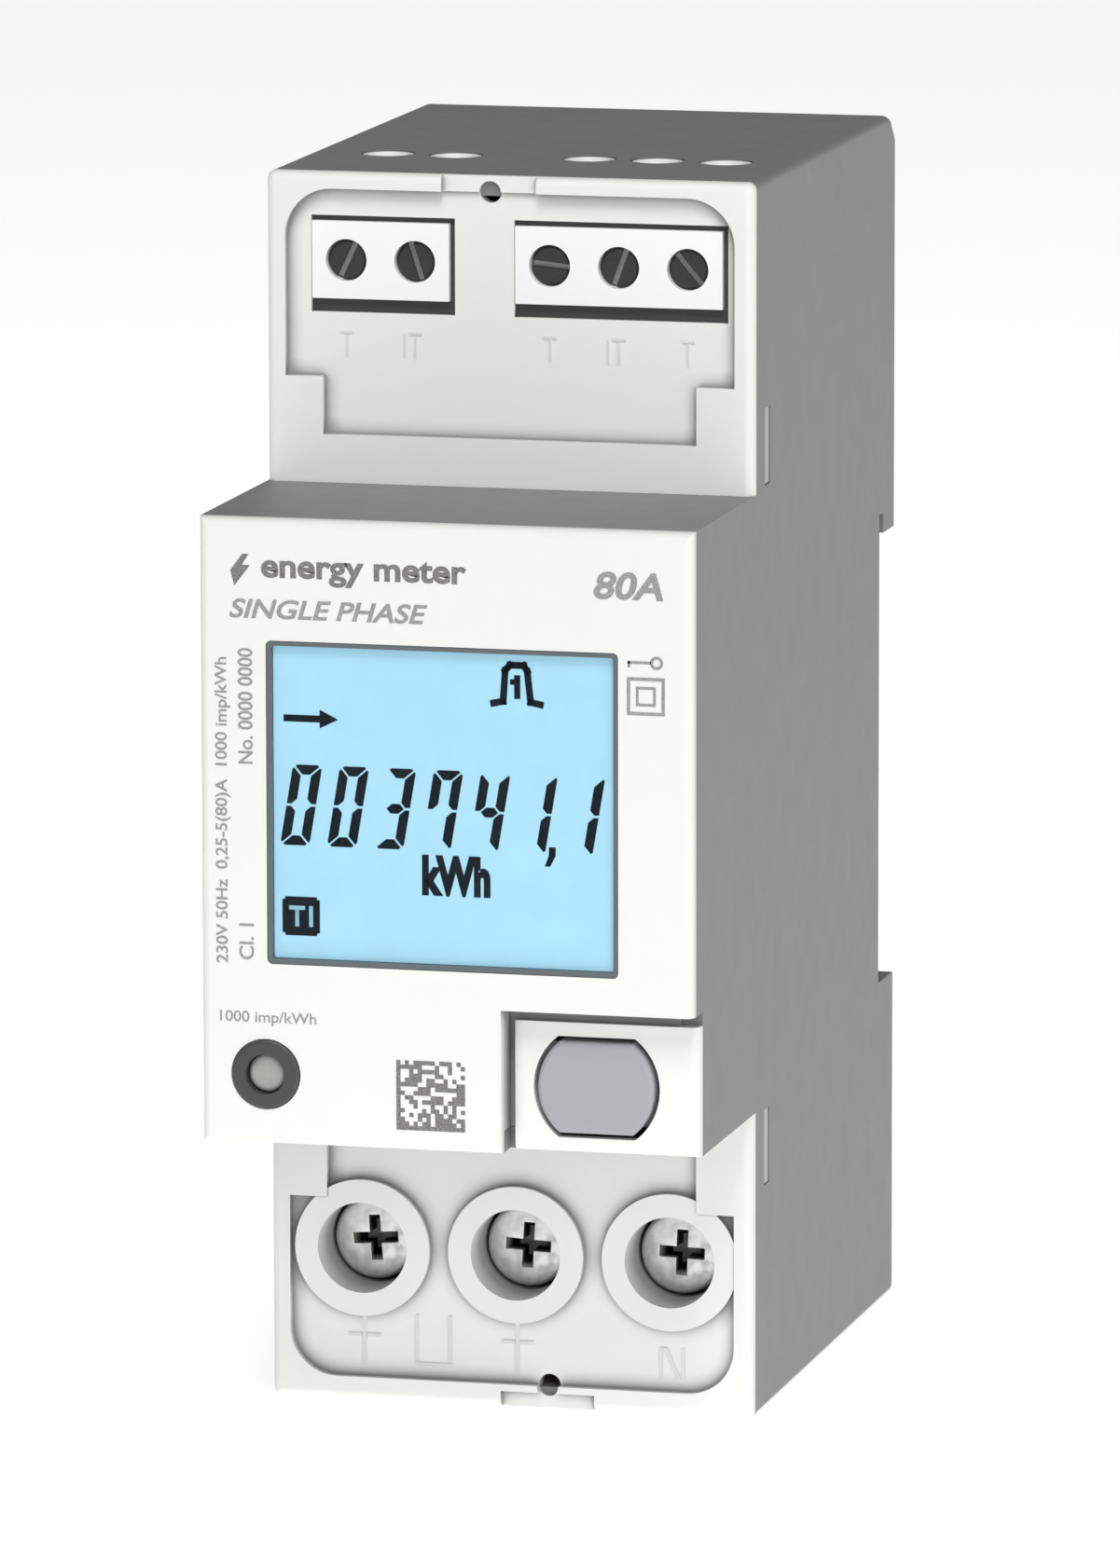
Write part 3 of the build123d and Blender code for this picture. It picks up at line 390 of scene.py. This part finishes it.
class Stencil:
    """Flat shapes on a plane that faces the reader, measured in millimetres from a corner of it."""

    def __init__(self, corner):
        self.corner = corner
        self.bm = bmesh.new()

    def outline(self, points):
        verts = [self.bm.verts.new(self.corner + Vector((x * MM, 0, z * MM))) for x, z in points]
        return self.bm.faces.new(verts)

    def bar(self, x0, x1, z0, z1):
        return self.outline([(x0, z0), (x1, z0), (x1, z1), (x0, z1)])

    def line(self, start, end, thickness):
        run = (Vector(end) - Vector(start)).normalized() * thickness / 2
        side = Vector((-run.y, run.x))
        a, b = Vector(start) - run, Vector(end) + run
        return self.outline([a - side, b - side, b + side, a + side])

    def ring(self, x, z, outer, inner, steps=32):
        turn = [math.tau * i / steps for i in range(steps)]
        rim = [(x + outer * math.cos(t), z + outer * math.sin(t)) for t in turn]
        hole = [(x + inner * math.cos(t), z + inner * math.sin(t)) for t in turn]
        for i in range(steps):
            j = (i + 1) % steps
            self.outline([rim[i], rim[j], hole[j], hole[i]])

    def frame(self, x0, x1, z0, z1, line):
        self.bar(x0, x1, z0, z0 + line)
        self.bar(x0, x1, z1 - line, z1)
        self.bar(x0, x0 + line, z0 + line, z1 - line)
        self.bar(x1 - line, x1, z0 + line, z1 - line)

    def piece(self, name, material, slot, thickness=0.0):
        """Finish the shapes as one sheet, or as raised shapes if a thickness is given."""
        if thickness:
            for face in self.bm.faces[:]:
                shape = bmesh.ops.extrude_face_region(self.bm, geom=[face])
                lifted = [v for v in shape["geom"] if isinstance(v, bmesh.types.BMVert)]
                bmesh.ops.translate(self.bm, verts=lifted, vec=(0, -thickness, 0))
        mesh = mesh_of(name, self.bm)
        if not thickness:
            face_forward(mesh)
        return new_piece(name, mesh, material, "meter_case")


def face_forward(mesh):
    """Turn every face of a flat sheet towards the reader."""
    bm = bmesh.new()
    bm.from_mesh(mesh)
    bm.normal_update()
    for face in bm.faces:
        if face.normal.y > 0:
            face.normal_flip()
    bm.to_mesh(mesh)
    bm.free()


def lettering(name, words, corner, left, bottom, width, height, slant=0.0, weight=0.0, upright=False):
    """Words as a flat mesh, fitted to a box that is given in millimetres from the corner."""
    curve = bpy.data.curves.new(name, "FONT")
    curve.body = words
    curve.shear = slant
    curve.offset = weight
    curve.resolution_u = 5
    text = bpy.data.objects.new(name, curve)
    bpy.context.scene.collection.objects.link(text)
    bpy.context.view_layer.update()
    mesh = applied(text)
    bpy.data.objects.remove(text)
    spots = [(-v.co.y, v.co.x) if upright else (v.co.x, v.co.y) for v in mesh.vertices]
    x0, x1 = min(s[0] for s in spots), max(s[0] for s in spots)
    z0, z1 = min(s[1] for s in spots), max(s[1] for s in spots)
    for vertex, (x, z) in zip(mesh.vertices, spots):
        along = left + (x - x0) / (x1 - x0) * width
        above = bottom + (z - z0) / (z1 - z0) * height
        vertex.co = corner + Vector((along * MM, 0, above * MM))
    face_forward(mesh)
    return mesh


def lathe(bm, profile, steps):
    """Spin a profile of (radius, y) about the Y axis."""
    rings = []
    for radius, y in profile:
        if radius <= 0:
            rings.append([bm.verts.new((0, y, 0))])
            continue
        turn = [math.tau * i / steps for i in range(steps)]
        rings.append([bm.verts.new((radius * math.cos(t), y, radius * math.sin(t))) for t in turn])
    for near, far in zip(rings, rings[1:]):
        for i in range(steps):
            j = (i + 1) % steps
            if len(near) == 1:
                bm.faces.new((near[0], far[i], far[j]))
            elif len(far) == 1:
                bm.faces.new((near[i], far[0], near[j]))
            else:
                bm.faces.new((near[i], far[i], far[j], near[j]))


def arc(centre, radius, start, end, steps):
    """Points of an arc in the plane of a profile, angles in degrees."""
    angles = [math.radians(start + (end - start) * i / steps) for i in range(steps + 1)]
    return [(centre[0] + radius * math.cos(a), centre[1] + radius * math.sin(a)) for a in angles]


def dress(material, slot):
    """Give a finish to every CAD node that the record puts in a slot."""
    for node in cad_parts.values():
        if node["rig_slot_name"] == slot:
            for place in node.material_slots:
                place.material = material


def remember_slots():
    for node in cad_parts.values():
        node["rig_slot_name"] = node.material_slots[0].material.name.split(".")[0]


# What a user would change


class MeterCase(bpy.types.PropertyGroup):
    # Partly painted shade: the housing's light grey is darkened so its flanks and top read as shaded beside
    # the white front
    shell: FloatVectorProperty(
        name="Housing", description="Colour of the rear housing", subtype="COLOR", size=3,
        default=(0.208, 0.208, 0.208), min=0, max=1)
    cover: FloatVectorProperty(
        name="Covers", description="Colour of the face and the two terminal panels", subtype="COLOR",
        size=3, default=(0.84, 0.845, 0.815), min=0, max=1)
    roughness: FloatProperty(
        name="Roughness", description="Roughness of the moulded plastic", default=0.5, min=0, max=1,
        subtype="FACTOR")
    # Painted shade: how dark the inner corners, wells and step walls of the covers are painted
    painted_shade: FloatProperty(
        name="Shadowing", description="How dark the shading makes the inner corners of the covers", default=0.8,
        min=0, max=1, subtype="FACTOR")


class MeterDisplay(bpy.types.PropertyGroup):
    reading: StringProperty(
        name="Reading", description="Seven figures; the last one stands after the comma", default="0037411")
    light: FloatVectorProperty(
        name="Backlight", description="Colour of the lit display", subtype="COLOR", size=3,
        default=(0.32, 0.59, 0.74), min=0, max=1)
    glow: FloatProperty(
        name="Glow", description="Strength of the backlight", default=0.3, min=0, max=5)
    slant: FloatProperty(
        name="Slant", description="Sideways lean of the figures for each unit of height", default=0.17)


class MeterPrint(bpy.types.PropertyGroup):
    ink: FloatVectorProperty(
        name="Ink", description="Colour of the printing on the face", subtype="COLOR", size=3,
        default=(0.115, 0.11, 0.105), min=0, max=1)
    heading: StringProperty(name="Heading", description="Words on the first line", default="energy meter")
    subject: StringProperty(name="Subject", description="Words on the second line", default="SINGLE PHASE")
    rating: StringProperty(name="Rating", description="Largest current", default="80A")
    seed: IntProperty(name="Code seed", description="Seed of the dot code", default=7)


class MeterScrews(bpy.types.PropertyGroup):
    steel: FloatVectorProperty(
        name="Steel", description="Colour of the plated screws", subtype="COLOR", size=3,
        default=(0.78, 0.78, 0.76), min=0, max=1)
    crown: FloatProperty(
        name="Crown", description="How far the middle of a main screw's head stands proud", unit="LENGTH",
        default=0.12 * MM)


class MeterStudio(bpy.types.PropertyGroup):
    distance: FloatProperty(
        name="Distance", description="From the camera to the middle of the meter", unit="LENGTH",
        default=0.87)
    azimuth: FloatProperty(
        name="Azimuth", description="Turn of the camera towards the meter's right", subtype="ANGLE",
        default=math.radians(14.046))
    elevation: FloatProperty(
        name="Elevation", description="Height of the camera above the horizon", subtype="ANGLE",
        default=math.radians(9.54))
    roll: FloatProperty(
        name="Roll", description="Tilt of the camera", subtype="ANGLE", default=math.radians(-0.09))
    focal_length: FloatProperty(
        name="Focal length", description="In millimetres, on a 36 mm sensor", default=278.6)
    key_power: FloatProperty(
        name="Key light", description="Power of the large soft light, in watts", default=4.4)
    top_power: FloatProperty(
        name="Top light", description="Power of the soft light above, in watts", default=8.2)
    sky: FloatProperty(name="Sky", description="Brightness of the even light all round", default=0.14)


# Operators: case


class METER_OT_case(bpy.types.Operator):
    """Finish the shell, the covers, the key and the terminal mouldings"""

    bl_idname = "meter.case"
    bl_label = "Case"

    def execute(self, context):
        look = context.scene.meter_case
        # The housing colour holds painted shade for the flanks and top
        dress(moulded_plastic("Housing plastic", look.shell, look.roughness), "housing_grey")
        # The covers carry painted shade in their corners, wells and step walls
        cover = moulded_plastic("Cover plastic", look.cover, look.roughness, cloud=0.012, painted_shade=look.painted_shade)
        dress(cover, "cover_white")
        dress(moulded_plastic("Terminal plastic", (0.96, 0.96, 0.965), 0.42, cloud=0.01), "aux_white")
        dress(moulded_plastic("Bezel plastic", (0.12, 0.135, 0.145), 0.38), "bezel_dark")
        dress(moulded_plastic("Key plastic", (0.37, 0.37, 0.405), 0.45, cloud=0.02), "key_grey")
        dress(moulded_plastic("Light ring plastic", (0.055, 0.057, 0.05), 0.42), "led_ring")
        dress(moulded_plastic("Clip plastic", (0.16, 0.16, 0.165), 0.5), "clip_plastic")
        return {"FINISHED"}


class METER_OT_insides(bpy.types.Operator):
    """Finish the boards, the parts on them, the conductors and the small hardware"""

    bl_idname = "meter.insides"
    bl_label = "Insides"

    def execute(self, context):
        steel = context.scene.meter_screws.steel
        dress(circuit_board("Circuit board", (0.02, 0.12, 0.05), (0.75, 0.6, 0.3)), "board_green")
        dress(moulded_plastic("Chip resin", (0.025, 0.025, 0.027), 0.5, 0.08 * MM), "chip_black")
        dress(moulded_plastic("Light guide", (0.85, 0.88, 0.9), 0.3), "backlight")
        dress(moulded_plastic("Contact rubber", (0.16, 0.15, 0.17), 0.7, 0.15 * MM), "rubber_strip")
        dress(rolled_metal("Copper bar", (0.80, 0.42, 0.25), 0.35), "copper_bar")
        dress(rolled_metal("Brass cage", (0.80, 0.68, 0.38), 0.33), "cage_brass")
        dress(rolled_metal("Spring steel", (0.5, 0.5, 0.52), 0.32), "spring_steel")
        dress(rolled_metal("Tinned can", (0.72, 0.73, 0.75), 0.28, (1, 14, 1)), "can_silver")
        dress(rolled_metal("Bright steel", steel, 0.3), "bright_steel")
        black, slot_floor_tone = (0.085, 0.085, 0.088), (0.42, 0.42, 0.42)
        slot_floor = aux_screw_front + AUX_SLOT_DEPTH
        dress(blackened_metal("Dark steel", black, slot_floor_tone, aux_screw_front, slot_floor), "dark_steel")
        dress(sleeve_film("Film capacitor lacquer", (0.75, 0.5, 0.06), 0.3), "film_yellow")
        dress(sleeve_film("Varistor lacquer", (0.05, 0.17, 0.5), 0.35), "varistor_blue")
        dress(sleeve_film("Resistor lacquer", (0.45, 0.5, 0.42), 0.45), "resistor_body")
        dress(clear_plastic("Lamp lens", (0.46, 0.465, 0.43), 0.85, 0.25), "lens_clear")
        return {"FINISHED"}


# Operators: display

SEGMENTS = {
    "0": "abcdef", "1": "bc", "2": "abdeg", "3": "abcdg", "4": "bcfg",
    "5": "acdfg", "6": "acdefg", "7": "abcf", "8": "abcdefg", "9": "abcdfg",
}
FIGURE_WIDTH = 2.15
FIGURE_HEIGHT = 5.8
FIGURE_PITCH = 3.44
SEGMENT_WIDTH = 0.7
SEGMENT_GAP = 0.09
SEGMENT_CORNER = 0.24
READING_CORNER = (-12.25, 44.1)


def segment_outline(letter):
    """One bar of a seven-bar figure, in millimetres from the figure's lower left corner."""
    w, h, s, g, c = FIGURE_WIDTH, FIGURE_HEIGHT, SEGMENT_WIDTH, SEGMENT_GAP, SEGMENT_CORNER
    mid = h / 2
    top = [(c + g, h), (c / 2 + g, h - c / 2), (s + g, h - s), (w - s - g, h - s),
           (w - c / 2 - g, h - c / 2), (w - c - g, h)]
    upper = [(0, h - c - g), (0, mid + g), (s / 2, mid + g), (s, mid + s / 2 + g),
             (s, h - s - g), (c / 2, h - c / 2 - g)]
    middle = [
        (s / 2 + g, mid), (s + g, mid + s / 2), (w - s - g, mid + s / 2),
        (w - s / 2 - g, mid), (w - s - g, mid - s / 2), (s + g, mid - s / 2),
    ]
    if letter == "a":
        return top
    if letter == "g":
        return middle
    if letter == "d":
        return [(x, h - z) for x, z in top]
    if letter == "f":
        return upper
    if letter == "b":
        return [(w - x, z) for x, z in upper]
    if letter == "e":
        return [(x, h - z) for x, z in upper]
    return [(w - x, h - z) for x, z in upper]


def draw_figure(stencil, letters, left, bottom, slant):
    for letter in letters:
        points = segment_outline(letter)
        stencil.outline([(left + x + z * slant, bottom + z) for x, z in points])


class METER_OT_display(bpy.types.Operator):
    """Light the display, glaze it and draw its figures and signs"""

    bl_idname = "meter.display"
    bl_label = "Display"

    def execute(self, context):
        look = context.scene.meter_display
        dress(lit_glass("Lit glass", look.light, look.glow), "display_blue")
        dress(clear_plastic("Display pane", (0.2, 0.25, 0.28), 0.005, 0.06, gloss=0.1), "window_clear")
        self.ink = crystal_ink("Display figure", (0.004, 0.007, 0.01))
        self.corner = Vector((0, glass_front - INK_GAP, meter_low.z))
        self.draw_reading(look)
        self.draw_signs(look)
        return {"FINISHED"}

    def draw_reading(self, look):
        lit = Stencil(self.corner)
        left, bottom = READING_CORNER
        for place, figure in enumerate(look.reading):
            start = left + place * FIGURE_PITCH
            on = SEGMENTS[figure]
            draw_figure(lit, on, start, bottom, look.slant)
        comma = left + (len(look.reading) - 2) * FIGURE_PITCH + FIGURE_WIDTH + 0.3
        tail = bottom - 0.8
        lit.bar(comma, comma + 0.5, bottom, bottom + 0.6)
        lit.outline([(comma - 0.3, tail), (comma + 0.1, tail), (comma + 0.5, bottom), (comma, bottom)])
        lit.piece("display_figures", self.ink, "display_blue")

    def draw_signs(self, look):
        signs = Stencil(self.corner)
        signs.bar(-11.95, -9.25, 52.97, 53.47)
        signs.outline([(-9.3, 52.55), (-7.95, 53.22), (-9.3, 53.9)])
        for start, end in (
            ((3.4, 54.85), (4.1, 55.0)), ((4.1, 55.0), (4.25, 57.2)), ((4.25, 57.2), (4.6, 57.6)),
            ((4.6, 57.6), (5.6, 57.6)), ((5.6, 57.6), (5.85, 57.2)), ((5.85, 57.2), (6.1, 55.0)),
            ((6.1, 55.0), (6.8, 54.85)),
        ):
            signs.line(start, end, 0.5)
        signs.bar(4.9, 5.35, 55.2, 56.9)
        signs.bar(4.6, 4.95, 56.2, 56.6)
        signs.bar(-12.1, -9.35, 37.8, 40.2)
        signs.bar(-11.9, -9.55, 37.6, 37.8)
        signs.bar(-11.9, -9.55, 40.2, 40.4)
        signs.piece("display_signs", self.ink, "display_blue")
        unit = lettering("unit", "kWh", self.corner, -1.85, 40.85, 5.0, 2.95, weight=0.055)
        new_piece("display_unit", unit, self.ink, "meter_case")
        front = self.corner - Vector((0, INK_GAP / 2, 0))
        tariff = lettering("tariff", "T1", front, -11.6, 38.25, 1.75, 1.5, weight=0.03)
        pale = crystal_ink("Open figure", shade(look.light, 0.8))
        new_piece("display_tariff", tariff, pale, "meter_case")


# Operators: printing on the face


class METER_OT_printing(bpy.types.Operator):
    """Print the headings, ratings, signs and dot code on the face"""

    bl_idname = "meter.printing"
    bl_label = "Printing"

    def execute(self, context):
        look = context.scene.meter_print
        self.corner = Vector((0, face_front - INK_GAP, meter_low.z))
        self.dark = printed_ink("Dark ink", look.ink)
        self.grey = printed_ink("Grey ink", (0.24, 0.235, 0.225), 0.3)
        self.print_words(look)
        self.print_signs()
        self.print_code(look.seed)
        return {"FINISHED"}

    def words(self, name, text, *box, ink=None, **style):
        mesh = lettering(name, text, self.corner, *box, **style)
        new_piece(name, mesh, ink or self.dark, "meter_case")

    def print_words(self, look):
        grey = {"ink": self.grey}
        upright = {"ink": self.grey, "upright": True, "weight": 0.015}
        rating = "230V 50Hz  0,25-5(80)A  1000 imp/kWh"
        self.words("heading_print", look.heading, -13.4, 62.75, 15.0, 2.1, weight=0.03)
        subject = {"slant": 0.25, "weight": 0.022, "ink": self.grey}
        self.words("subject_print", look.subject, -15.75, 60.35, 14.5, 1.4, **subject)
        self.words("rating_print", look.rating, 10.8, 62.6, 5.05, 2.0, slant=0.2, weight=0.03, **grey)
        self.words("voltage_print", rating, -16.85, 35.5, 1.15, 22.0, **upright)
        self.words("class_print", "Cl. 1", -15.15, 35.8, 1.1, 2.6, **upright)
        self.words("serial_print", "No. 0000 0000", -15.15, 49.9, 1.1, 8.3, **upright)
        self.words("pulse_print", "1000 imp/kWh", -16.6, 31.05, 7.1, 1.05, weight=0.012, **grey)

    def print_signs(self):
        bolt = Stencil(self.corner)
        bolt.outline([(-14.75, 64.95), (-15.65, 63.75), (-15.05, 63.75), (-14.3, 64.95)])
        bolt.outline([(-15.65, 63.75), (-15.35, 62.65), (-14.2, 64.15), (-14.8, 64.15), (-15.05, 63.75)])
        bolt.piece("bolt_print", self.dark, "cover_white")
        signs = Stencil(self.corner)
        signs.bar(13.25, 14.95, 58.1, 58.3)
        signs.bar(13.25, 13.45, 57.85, 58.3)
        signs.ring(15.35, 58.2, 0.48, 0.26)
        signs.frame(13.2, 15.95, 54.45, 57.15, 0.24)
        signs.frame(13.85, 15.3, 55.1, 56.5, 0.2)
        signs.piece("sign_print", self.grey, "cover_white")

    def print_code(self, seed):
        """A square field of dots in no particular order."""
        pick = random.Random(seed)
        code = Stencil(self.corner)
        left, bottom, cells, side = -3.65, 24.0, 16, 0.315
        for row in range(cells):
            for column in range(cells):
                edge = row == 0 or column == 0
                comb = (row == cells - 1 and column % 2 == 0) or (column == cells - 1 and row % 2 == 0)
                if edge or comb or pick.random() < 0.48:
                    x, z = left + column * side, bottom + row * side
                    code.bar(x, x + side, z, z + side)
        bmesh.ops.remove_doubles(code.bm, verts=code.bm.verts, dist=0.001 * MM)
        code.piece("dot_code_print", self.dark, "cover_white")


LINE_MARK_PLACES = (-11.2, 0.3)
AUX_MARK_PLACES = (-12.2, -7.12, 2.86, 7.94, 13.02)


class METER_OT_marks(bpy.types.Operator):
    """Raise the terminal marks on the floors of the two recesses"""

    bl_idname = "meter.marks"
    bl_label = "Terminal marks"

    def execute(self, context):
        cover = context.scene.meter_case.cover
        floor = Vector((0, panel_front + RECESS_DEPTH, meter_low.z))
        # Painted shade: the marks are the cover plastic painted darker, so they show as their shading would
        # show them
        tint = moulded_plastic("Raised mark plastic", shade(cover, 0.86), 0.5)
        lower = Stencil(floor)
        for x in LINE_MARK_PLACES:
            lower.bar(x - 0.14, x + 0.14, 2.4, 6.2)
            lower.bar(x - 1.2, x - 0.2, 4.6, 4.85)
            lower.bar(x + 0.2, x + 1.2, 4.6, 4.85)
        lower.bar(-7.4, -7.12, 2.9, 6.4)
        lower.bar(-7.4, -4.6, 2.6, 2.88)
        lower.bar(-4.88, -4.6, 2.9, 6.4)
        lower.bar(10.9, 11.16, 2.6, 4.9)
        lower.outline([(11.2, 4.9), (12.2, 2.6), (12.5, 2.6), (11.5, 4.9)])
        lower.bar(12.54, 12.8, 2.6, 4.9)
        lower.piece("lower_marks", tint, "cover_white", thickness=0.1 * MM)
        upper = Stencil(floor)
        for i, x in enumerate(AUX_MARK_PLACES):
            upper.bar(x - 0.5, x + 0.5, 78.31, 78.5)
            upper.bar(x - 0.1, x + 0.1, 76.6, 78.3)
            if i % 2:
                upper.bar(x - 0.9, x - 0.7, 76.6, 78.4)
        upper.piece("upper_marks", tint, "cover_white", thickness=0.08 * MM)
        # Painted shade: a dark sheet behind the terminal-block gaps
        self.gasket()
        return {"FINISHED"}

    def gasket(self):
        """A dark sheet behind the gap between each terminal block and its window: painted shade."""
        gap_shade = moulded_plastic("Painted foam", (0.05, 0.05, 0.05), 0.8, 0.3 * MM, 0.02 * MM)
        rim = Stencil(Vector((0, panel_front + GAP_SHADE_DEPTH, meter_low.z)))
        low, high = 80.8, 86.4
        for left, right in ((-14.74, -4.58), (0.32, 15.56)):
            end = right + 0.38
            rim.bar(left - 0.08, end, low - 0.98, low - 0.02)
            rim.bar(left - 0.08, end, high + 0.02, high + 0.38)
            rim.bar(right + 0.02, end, low, high)
        rim.piece("terminal_gap_shade", gap_shade, "rubber_strip")


# Operators: screws


def head_profile(radius, thickness, crown, edge):
    """Half section of a pan head, from the middle of its face to its underside."""
    sphere = (radius * radius + crown * crown) / (2 * crown)
    reach = radius - edge
    radii = [reach * i / 6 for i in range(7)]
    points = [(r, sphere - math.sqrt(sphere * sphere - r * r)) for r in radii]
    rim = (reach, points[-1][1] + edge)
    points += arc(rim, edge, -90, 0, 4)[1:]
    return points + [(radius, thickness)]


def cross_cutter(length, width, depth, taper):
    """Two tapered arms that meet in a point, as a driver's tip leaves them."""
    bm = bmesh.new()
    for turn in (0, 90):
        spin = Matrix.Rotation(math.radians(turn), 4, "Y")
        corners = []
        for y, share in ((-depth, 1.0), (depth, taper)):
            l, w = length / 2 * share, width / 2 * (0.55 + 0.45 * share)
            corners.append([bm.verts.new(spin @ Vector(p)) for p in
                            ((-l, y, -w), (l, y, -w), (l, y, w), (-l, y, w))])
        near, far = corners
        bm.faces.new(near)
        bm.faces.new(list(reversed(far)))
        for i in range(4):
            j = (i + 1) % 4
            bm.faces.new((near[j], near[i], far[i], far[j]))
    return mesh_of("cross_cutter", bm)


class METER_OT_main_screws(bpy.types.Operator):
    """Make the three main terminal screws with crowned heads, driver crosses and threads"""

    bl_idname = "meter.main_screws"
    bl_label = "Main screws"

    def execute(self, context):
        look = context.scene.meter_screws
        steel = turned_metal("Plated steel", look.steel, 0.34)
        for name, turn in (("line_in", -4), ("line_out", 3), ("neutral", 2)):
            self.make(f"main_screw_{name}", steel, look.crown, turn)
        return {"FINISHED"}

    def make(self, node, steel, crown, turn):
        low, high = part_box(node)
        axis = Vector(((low.x + high.x) / 2, low.y, (low.z + high.z) / 2))
        radius = (high.x - low.x) / 2 / MM
        end = (high.y - low.y) / MM
        head, shank, pitch, thread = 2.5, 2.2, 0.8, 0.3
        profile = head_profile(radius, head, crown / MM, 0.3)
        turns = int((end - head) / pitch)
        for i in range(turns):
            profile.append((shank - thread, head + i * pitch))
            profile.append((shank, head + (i + 0.5) * pitch))
        profile += [(shank - thread, end), (0, end)]
        bm = bmesh.new()
        lathe(bm, profile, 64)
        blank = bpy.data.objects.new("blank", mesh_of("blank", bm))
        cutter = bpy.data.objects.new("cutter", cross_cutter(length=4.7, width=0.95, depth=1.8, taper=0.45))
        cutter.matrix_world = Matrix.Rotation(math.radians(turn), 4, "Y")
        for thing in (blank, cutter):
            bpy.context.scene.collection.objects.link(thing)
        cut = blank.modifiers.new("cross", "BOOLEAN")
        cut.operation = "DIFFERENCE"
        cut.object = cutter
        cut.solver = "EXACT"
        cut.use_self = True
        soften = blank.modifiers.new("edges", "BEVEL")
        soften.width = 0.06
        soften.segments = 2
        soften.limit_method = "ANGLE"
        soften.angle_limit = SHARP_ANGLE
        bpy.context.view_layer.update()
        mesh = applied(blank)
        for thing in (blank, cutter):
            bpy.data.objects.remove(thing)
        mesh.shade_smooth()
        mesh.set_sharp_from_angle(angle=SHARP_ANGLE)
        mesh.transform(Matrix.Translation(axis) @ Matrix.Scale(MM, 4))
        piece = new_piece(f"{node}_dressed", mesh, steel, node, origin=axis)
        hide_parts(node)


# Operators: studio


CAMERA_AIM = (4.65, -45.2, 4.28)


class METER_OT_studio(bpy.types.Operator):
    """Set up the paper sweep, the soft lights and the camera"""

    bl_idname = "meter.studio"
    bl_label = "Studio"

    def execute(self, context):
        look = context.scene.meter_studio
        self.sweep()
        self.lights(context.scene, look)
        self.camera(context.scene, look)
        return {"FINISHED"}

    def sweep(self):
        """A round sheet of paper whose rim curves up all round."""
        reach, bend = 2.8, 0.9
        line = [(0, 0), (reach - bend, 0)]
        line += [(reach - bend + bend * math.sin(a), -bend * (1 - math.cos(a)))
                 for a in [math.radians(d) for d in range(5, 51, 5)]]
        bm = bmesh.new()
        lathe(bm, line, 96)
        mesh = mesh_of("paper_sweep", bm, smooth=SHARP_ANGLE)
        ground = Matrix.Translation((0, 0, meter_low.z - 0.02 * MM))
        mesh.transform(ground @ Matrix.Rotation(math.radians(-90), 4, "X"))
        mesh.materials.append(studio_paper("Studio paper", (0.93, 0.93, 0.93), 0.72))
        paper = bpy.data.objects.new("paper_sweep", mesh)
        bpy.context.scene.collection.objects.link(paper)

    def lights(self, scene, look):
        world = bpy.data.worlds.new("Studio")
        scene.world = world
        world.use_nodes = True
        world.node_tree.nodes["Background"].inputs["Color"].default_value = (1, 1, 1, 1)
        world.node_tree.nodes["Background"].inputs["Strength"].default_value = look.sky
        self.soft_box("key_light", 32, 12, 1.2, 0.7, look.key_power)
        self.soft_box("top_light", 10, 55, 1.2, 0.5, look.top_power)

    def soft_box(self, name, azimuth, elevation, distance, side, power):
        light = bpy.data.lights.new(name, "AREA")
        light.shape = "SQUARE"
        light.size = side
        light.energy = power
        lamp = bpy.data.objects.new(name, light)
        bpy.context.scene.collection.objects.link(lamp)
        lamp.matrix_world = looking_in(azimuth, elevation, distance, (meter_low + meter_high) / 2)

    def camera(self, scene, look):
        data = bpy.data.cameras.new("Camera")
        data.sensor_fit = "AUTO"
        data.sensor_width = 36
        data.lens = look.focal_length
        data.clip_start = 0.01
        camera = bpy.data.objects.new("Camera", data)
        scene.collection.objects.link(camera)
        aim = Vector(CAMERA_AIM) * MM
        turn = math.degrees(look.azimuth), math.degrees(look.elevation)
        camera.matrix_world = looking_in(*turn, look.distance, aim) @ Matrix.Rotation(look.roll, 4, "Z")
        scene.camera = camera
        scene.view_settings.view_transform = "Standard"


def looking_in(azimuth, elevation, distance, aim):
    """Where a lamp or camera stands, in degrees round and above the meter, turned to look at a point."""
    a, e = math.radians(azimuth), math.radians(elevation)
    out = Vector((math.sin(a) * math.cos(e), -math.cos(a) * math.cos(e), math.sin(e)))
    turn = out.to_track_quat("Z", "Y").to_matrix().to_4x4()
    return Matrix.Translation(aim + out * distance) @ turn


# Panel and registration

GROUPS = {
    "meter_case": MeterCase, "meter_display": MeterDisplay, "meter_print": MeterPrint,
    "meter_screws": MeterScrews, "meter_studio": MeterStudio,
}
OPERATORS = [
    METER_OT_case, METER_OT_insides, METER_OT_display, METER_OT_printing, METER_OT_marks,
    METER_OT_main_screws, METER_OT_studio,
]


class METER_PT_panel(bpy.types.Panel):
    """Sizes and colours of the meter, and the steps that make it"""

    bl_label = "Meter"
    bl_space_type = "VIEW_3D"
    bl_region_type = "UI"
    bl_category = "Meter"

    def draw(self, context):
        for name, group in GROUPS.items():
            box = self.layout.box()
            for prop in group.__annotations__:
                box.prop(getattr(context.scene, name), prop)
        for operator in OPERATORS:
            self.layout.operator(operator.bl_idname)


def register():
    for cls in [*GROUPS.values(), *OPERATORS, METER_PT_panel]:
        bpy.utils.register_class(cls)
    for name, group in GROUPS.items():
        setattr(bpy.types.Scene, name, bpy.props.PointerProperty(type=group))


def unregister():
    for name in GROUPS:
        delattr(bpy.types.Scene, name)
    for cls in reversed([*GROUPS.values(), *OPERATORS, METER_PT_panel]):
        bpy.utils.unregister_class(cls)


def main():
    register()
    remember_slots()
    for operator in OPERATORS:
        group, action = operator.bl_idname.split(".")
        getattr(getattr(bpy.ops, group), action)()


if __name__ == "__main__":
    main()
